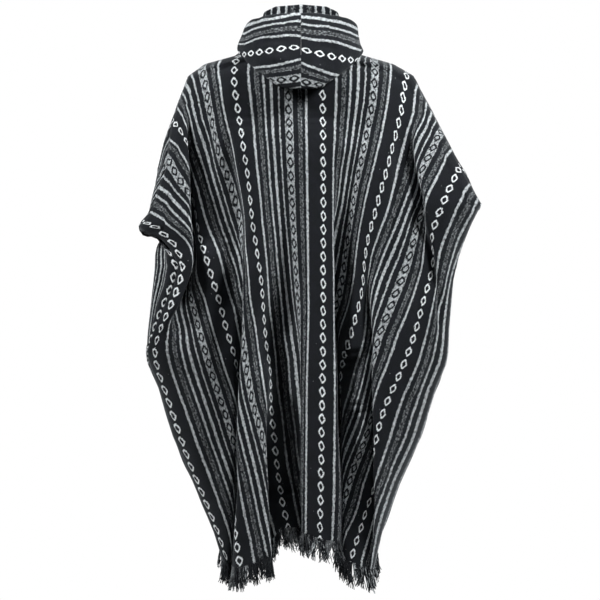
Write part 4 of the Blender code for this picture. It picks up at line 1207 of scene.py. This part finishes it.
def striped_cotton(name, diamonds=True, fleck=0.0):
    """Brushed cotton in the woven stripes, with diamond chains where asked for."""
    shade = Shading(name)
    weave = shade.node("ShaderNodeUVMap")
    weave.uv_map = "weave"
    parts = shade.node("ShaderNodeSeparateXYZ", Vector=weave.outputs[0])
    warp, along = parts.outputs[0], parts.outputs[1]
    across = shade.times(warp, STRIPE_REPEAT)
    place = shade.node("ShaderNodeCombineXYZ", X=across, Y=along, Z=0.0).outputs[0]
    threads = shade.node("ShaderNodeVectorMath", Vector=place).outputs[0]
    threads.node.operation = "MULTIPLY"
    threads.node.inputs[1].default_value = THREAD_STRETCH
    wander = shade.math("SUBTRACT", shade.noise(place, WANDER_NOISE), 0.5)
    slow = shade.math("SUBTRACT", shade.noise(place, DRIFT_NOISE), 0.5)
    fuzz = shade.math("SUBTRACT", shade.noise(place, FUZZ_NOISE), 0.5)
    worn_warp = shade.scaled(wander, EDGE_WANDER, warp)
    worn_warp = shade.scaled(slow, EDGE_DRIFT, worn_warp)
    worn_warp = shade.scaled(fuzz, EDGE_FUZZ, worn_warp)
    place_in_repeat = shade.math("FRACT", worn_warp)

    ramp = shade.node("ShaderNodeValToRGB", Fac=place_in_repeat)
    ramp.color_ramp.interpolation = "CONSTANT"
    stops = ramp.color_ramp.elements
    stops.remove(stops[1])
    stops[0].position = 0.0
    stops[0].color = KINDS["ground"]
    for start, kind in STRIPES[1:]:
        stops.new(start).color = KINDS[kind]
    kinds = shade.node("ShaderNodeSeparateColor", Color=ramp.outputs[0])
    white, grey, band = kinds.outputs[0], kinds.outputs[1], kinds.outputs[2]

    fine = shade.noise(place, FINE_NOISE)
    tufts = shade.noise(threads, TUFT_NOISE)
    marl = shade.noise(threads, MARL_NOISE)
    patchy = shade.noise(place, PATCH_NOISE)
    worn_along = shade.scaled(wander, ALONG_WANDER, along)
    worn_along = shade.scaled(fuzz, ALONG_FUZZ, worn_along)
    repeat = shade.math("DIVIDE", worn_along, DIAMOND_PITCH)
    beyond = shade.math("FRACT", shade.math("ADD", repeat, 0.5))
    tall = shade.gap(beyond, 0.5)
    chain_side = shade.math("FRACT", shade.math("ADD", worn_warp, 0.5))
    chain_wide = shade.gap(chain_side, 0.5)
    open_diamond = diamond_ring(shade, chain_wide, tall, *CHAIN_DIAMOND)
    band_wide = shade.gap(place_in_repeat, BAND_MIDDLE)
    dark_diamond = diamond_ring(shade, band_wide, tall, *BAND_DIAMOND)

    off_first, off_second = [
        shade.gap(place_in_repeat, middle) for middle in GREY_MIDDLES]
    off_grey = shade.math("MINIMUM", off_first, off_second)
    strands = shade.scaled(shade.levels(off_grey, *STRAND_RANGE), *STRAND_LIGHT)
    uneven = shade.scaled(shade.levels(patchy, *UNEVEN_RANGE), *UNEVEN_LIGHT)
    marled = shade.times(grey, shade.levels(marl, *MARL_RANGE))
    marled = shade.times(marled, shade.times(strands, uneven))
    light = shade.math("ADD", white, marled, clamp=True)
    if diamonds:
        plain_band = shade.math("SUBTRACT", band, dark_diamond, clamp=True)
        mottle = shade.scaled(shade.levels(marl, *BAND_MOTTLE_RANGE), *BAND_MOTTLE)
        plain_band = shade.times(plain_band, mottle)
        light = shade.math("ADD", light, plain_band, clamp=True)
    else:
        light = shade.math("ADD", light, shade.times(band, FRINGE_BAND), clamp=True)
        light = shade.times(light, shade.levels(marl, *FRINGE_MARL_RANGE))
    worn = shade.scaled(shade.levels(tufts, *WORN_RANGE), *WORN_LIGHT)
    worn = shade.times(worn, shade.scaled(patchy, *PATCH_LIGHT))
    light = shade.times(light, worn, clamp=True)
    if fleck:
        light = shade.scaled(shade.levels(tufts, *FLECK_RANGE), fleck, light, clamp=True)

    ground = shade.mix(shade.levels(patchy, *BLUISH_RANGE), BLACK_COTTON, BLUISH_COTTON)
    ground = shade.mix(shade.levels(fine, *NAP_RANGE), ground, NAP_COTTON)
    lint = shade.node("ShaderNodeTexVoronoi", Vector=place, Scale=LINT_SCALE)
    speck = shade.math("LESS_THAN", lint.outputs[0], LINT_SIZE)
    rare = shade.math("GREATER_THAN", shade.noise(place, LINT_PATCHES), LINT_RARITY)
    ground = shade.mix(shade.times(speck, rare), ground, LINT_COTTON)
    colour = shade.mix(light, ground, STRIPE_COTTON)
    if diamonds:
        bright = shade.times(open_diamond, shade.scaled(worn, *DIAMOND_LIGHT), clamp=True)
        colour = shade.mix(bright, colour, DIAMOND_COTTON)
        light = shade.math("MAXIMUM", light, bright)
    shade.feed(shade.shader.inputs["Base Color"], colour)
    shade.shader.inputs["Roughness"].default_value = ROUGHNESS
    shade.shader.inputs["Specular IOR Level"].default_value = SPECULAR
    shade.shader.inputs["Sheen Weight"].default_value = SHEEN
    shade.shader.inputs["Sheen Roughness"].default_value = SHEEN_ROUGHNESS
    shade.shader.inputs["Sheen Tint"].default_value = SHEEN_COTTON

    twill = shade.math("SINE", shade.times(shade.math("ADD", across, along), TWILL_LINES))
    nap = shade.scaled(tufts, TUFT_RELIEF, shade.times(fine, NAP_RELIEF))
    raised = shade.scaled(light, STRIPE_RELIEF, nap)
    relief = shade.scaled(twill, TWILL_RELIEF, raised)
    bump = shade.node("ShaderNodeBump", Strength=RELIEF_STRENGTH, Distance=RELIEF_DEPTH, Height=relief)
    shade.feed(shade.shader.inputs["Normal"], bump.outputs[0])
    return shade.material


def diamond_ring(shade, wide, tall, half_width, half_height, hollow):
    """1 on the outline of a diamond, from distances to its middle across and along the cloth."""
    sides = shade.math("POWER", shade.math("DIVIDE", wide, half_width), DIAMOND_ROUNDNESS)
    ends = shade.math("POWER", shade.math("DIVIDE", tall, half_height), DIAMOND_ROUNDNESS)
    reach = shade.math("ADD", sides, ends)
    inside = shade.math("LESS_THAN", reach, 1.0)
    open_part = shade.math("LESS_THAN", reach, hollow**DIAMOND_ROUNDNESS)
    return shade.math("SUBTRACT", inside, open_part, clamp=True)


def plain_material(name, colour):
    """A plain matte surface for the stage."""
    shade = Shading(name)
    shade.shader.inputs["Base Color"].default_value = colour
    shade.shader.inputs["Roughness"].default_value = FLOOR_ROUGHNESS
    return shade.material


def make_studio_walls():
    """A world that is white behind the garment and dim elsewhere."""
    world = bpy.data.worlds.new("studio")
    world.use_nodes = True
    tree = world.node_tree
    directions = tree.nodes.new("ShaderNodeTexCoord")
    parts = tree.nodes.new("ShaderNodeSeparateXYZ")
    wall = tree.nodes.new("ShaderNodeMapRange")
    for socket, value in zip(wall.inputs[1:5], (*WALL_EDGE, WALL_DIM, 1.0)):
        socket.default_value = value
    tree.links.new(directions.outputs["Generated"], parts.inputs[0])
    tree.links.new(parts.outputs[1], wall.inputs[0])
    tree.links.new(wall.outputs[0], tree.nodes["Background"].inputs[0])
    bpy.context.scene.world = world


def make_stage():
    """A pale floor, a bright backdrop, soft lights and the camera at the photograph's view."""
    build = bmesh.new()
    bmesh.ops.create_grid(build, x_segments=1, y_segments=1, size=FLOOR_SIZE)
    mesh = bpy.data.meshes.new("floor")
    build.to_mesh(mesh)
    build.free()
    mesh.materials.append(plain_material("pale_floor", FLOOR_COLOUR))
    floor = bpy.data.objects.new("floor", mesh)
    floor.location = (0, 0, FLOOR_HEIGHT)
    bpy.context.scene.collection.objects.link(floor)

    make_studio_walls()
    for name, place, size, power in LIGHTS:
        light = bpy.data.lights.new(name, "AREA")
        light.shape = "DISK"
        light.size = size
        light.energy = power
        light.spread = math.radians(LIGHT_SPREAD)
        lamp = bpy.data.objects.new(name, light)
        lamp.location = place
        aim = Vector((0, 0, LIGHT_AIM)) - Vector(place)
        lamp.rotation_euler = aim.to_track_quat("-Z", "Y").to_euler()
        bpy.context.scene.collection.objects.link(lamp)

    half = PHOTO_SIZE / 2
    camera = bpy.data.cameras.new("camera")
    camera.lens = camera.sensor_width * CAMERA_DISTANCE / (PHOTO_SIZE * PIXEL)
    camera.clip_end = 100
    view = bpy.data.objects.new("camera", camera)
    view.location = (side(half), FOCUS_DEPTH - CAMERA_DISTANCE, height(half))
    view.rotation_euler = (math.radians(90), 0, 0)
    bpy.context.scene.collection.objects.link(view)
    bpy.context.scene.camera = view
    bpy.context.scene.view_settings.view_transform = "Standard"


def main():
    cotton = striped_cotton("striped_cotton")
    yarn = striped_cotton("fringe_cotton", diamonds=False, fleck=FRINGE_FLECK)
    (back, front), back_points, front_points, warps = make_panels(cotton)
    hoods = [hood_half("hood_left_cloth", -1, cotton), hood_half("hood_right_cloth", 1, cotton)]
    bands = [band_half("band_left_cloth", -1, cotton), band_half("band_right_cloth", 1, cotton)]
    back_yarns = fringe_yarns("back_fringe_yarns", back_points, warps, yarn, 3)
    front_yarns = fringe_yarns("front_fringe_yarns", front_points, warps, yarn, 4)

    for piece, node, slot in (
            (back, "back_panel", "striped_cotton"),
            (front, "front_panel", "striped_cotton"),
            (hoods[0], "hood_left", "hood_cotton"),
            (hoods[1], "hood_right", "hood_cotton"),
            (bands[0], "front_band_left", "hood_cotton"),
            (bands[1], "front_band_right", "hood_cotton"),
            (back_yarns, "back_fringe", "fringe_cotton"),
            (front_yarns, "front_fringe", "fringe_cotton")):
        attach(piece, "root")
        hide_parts(node)
    make_stage()


main()
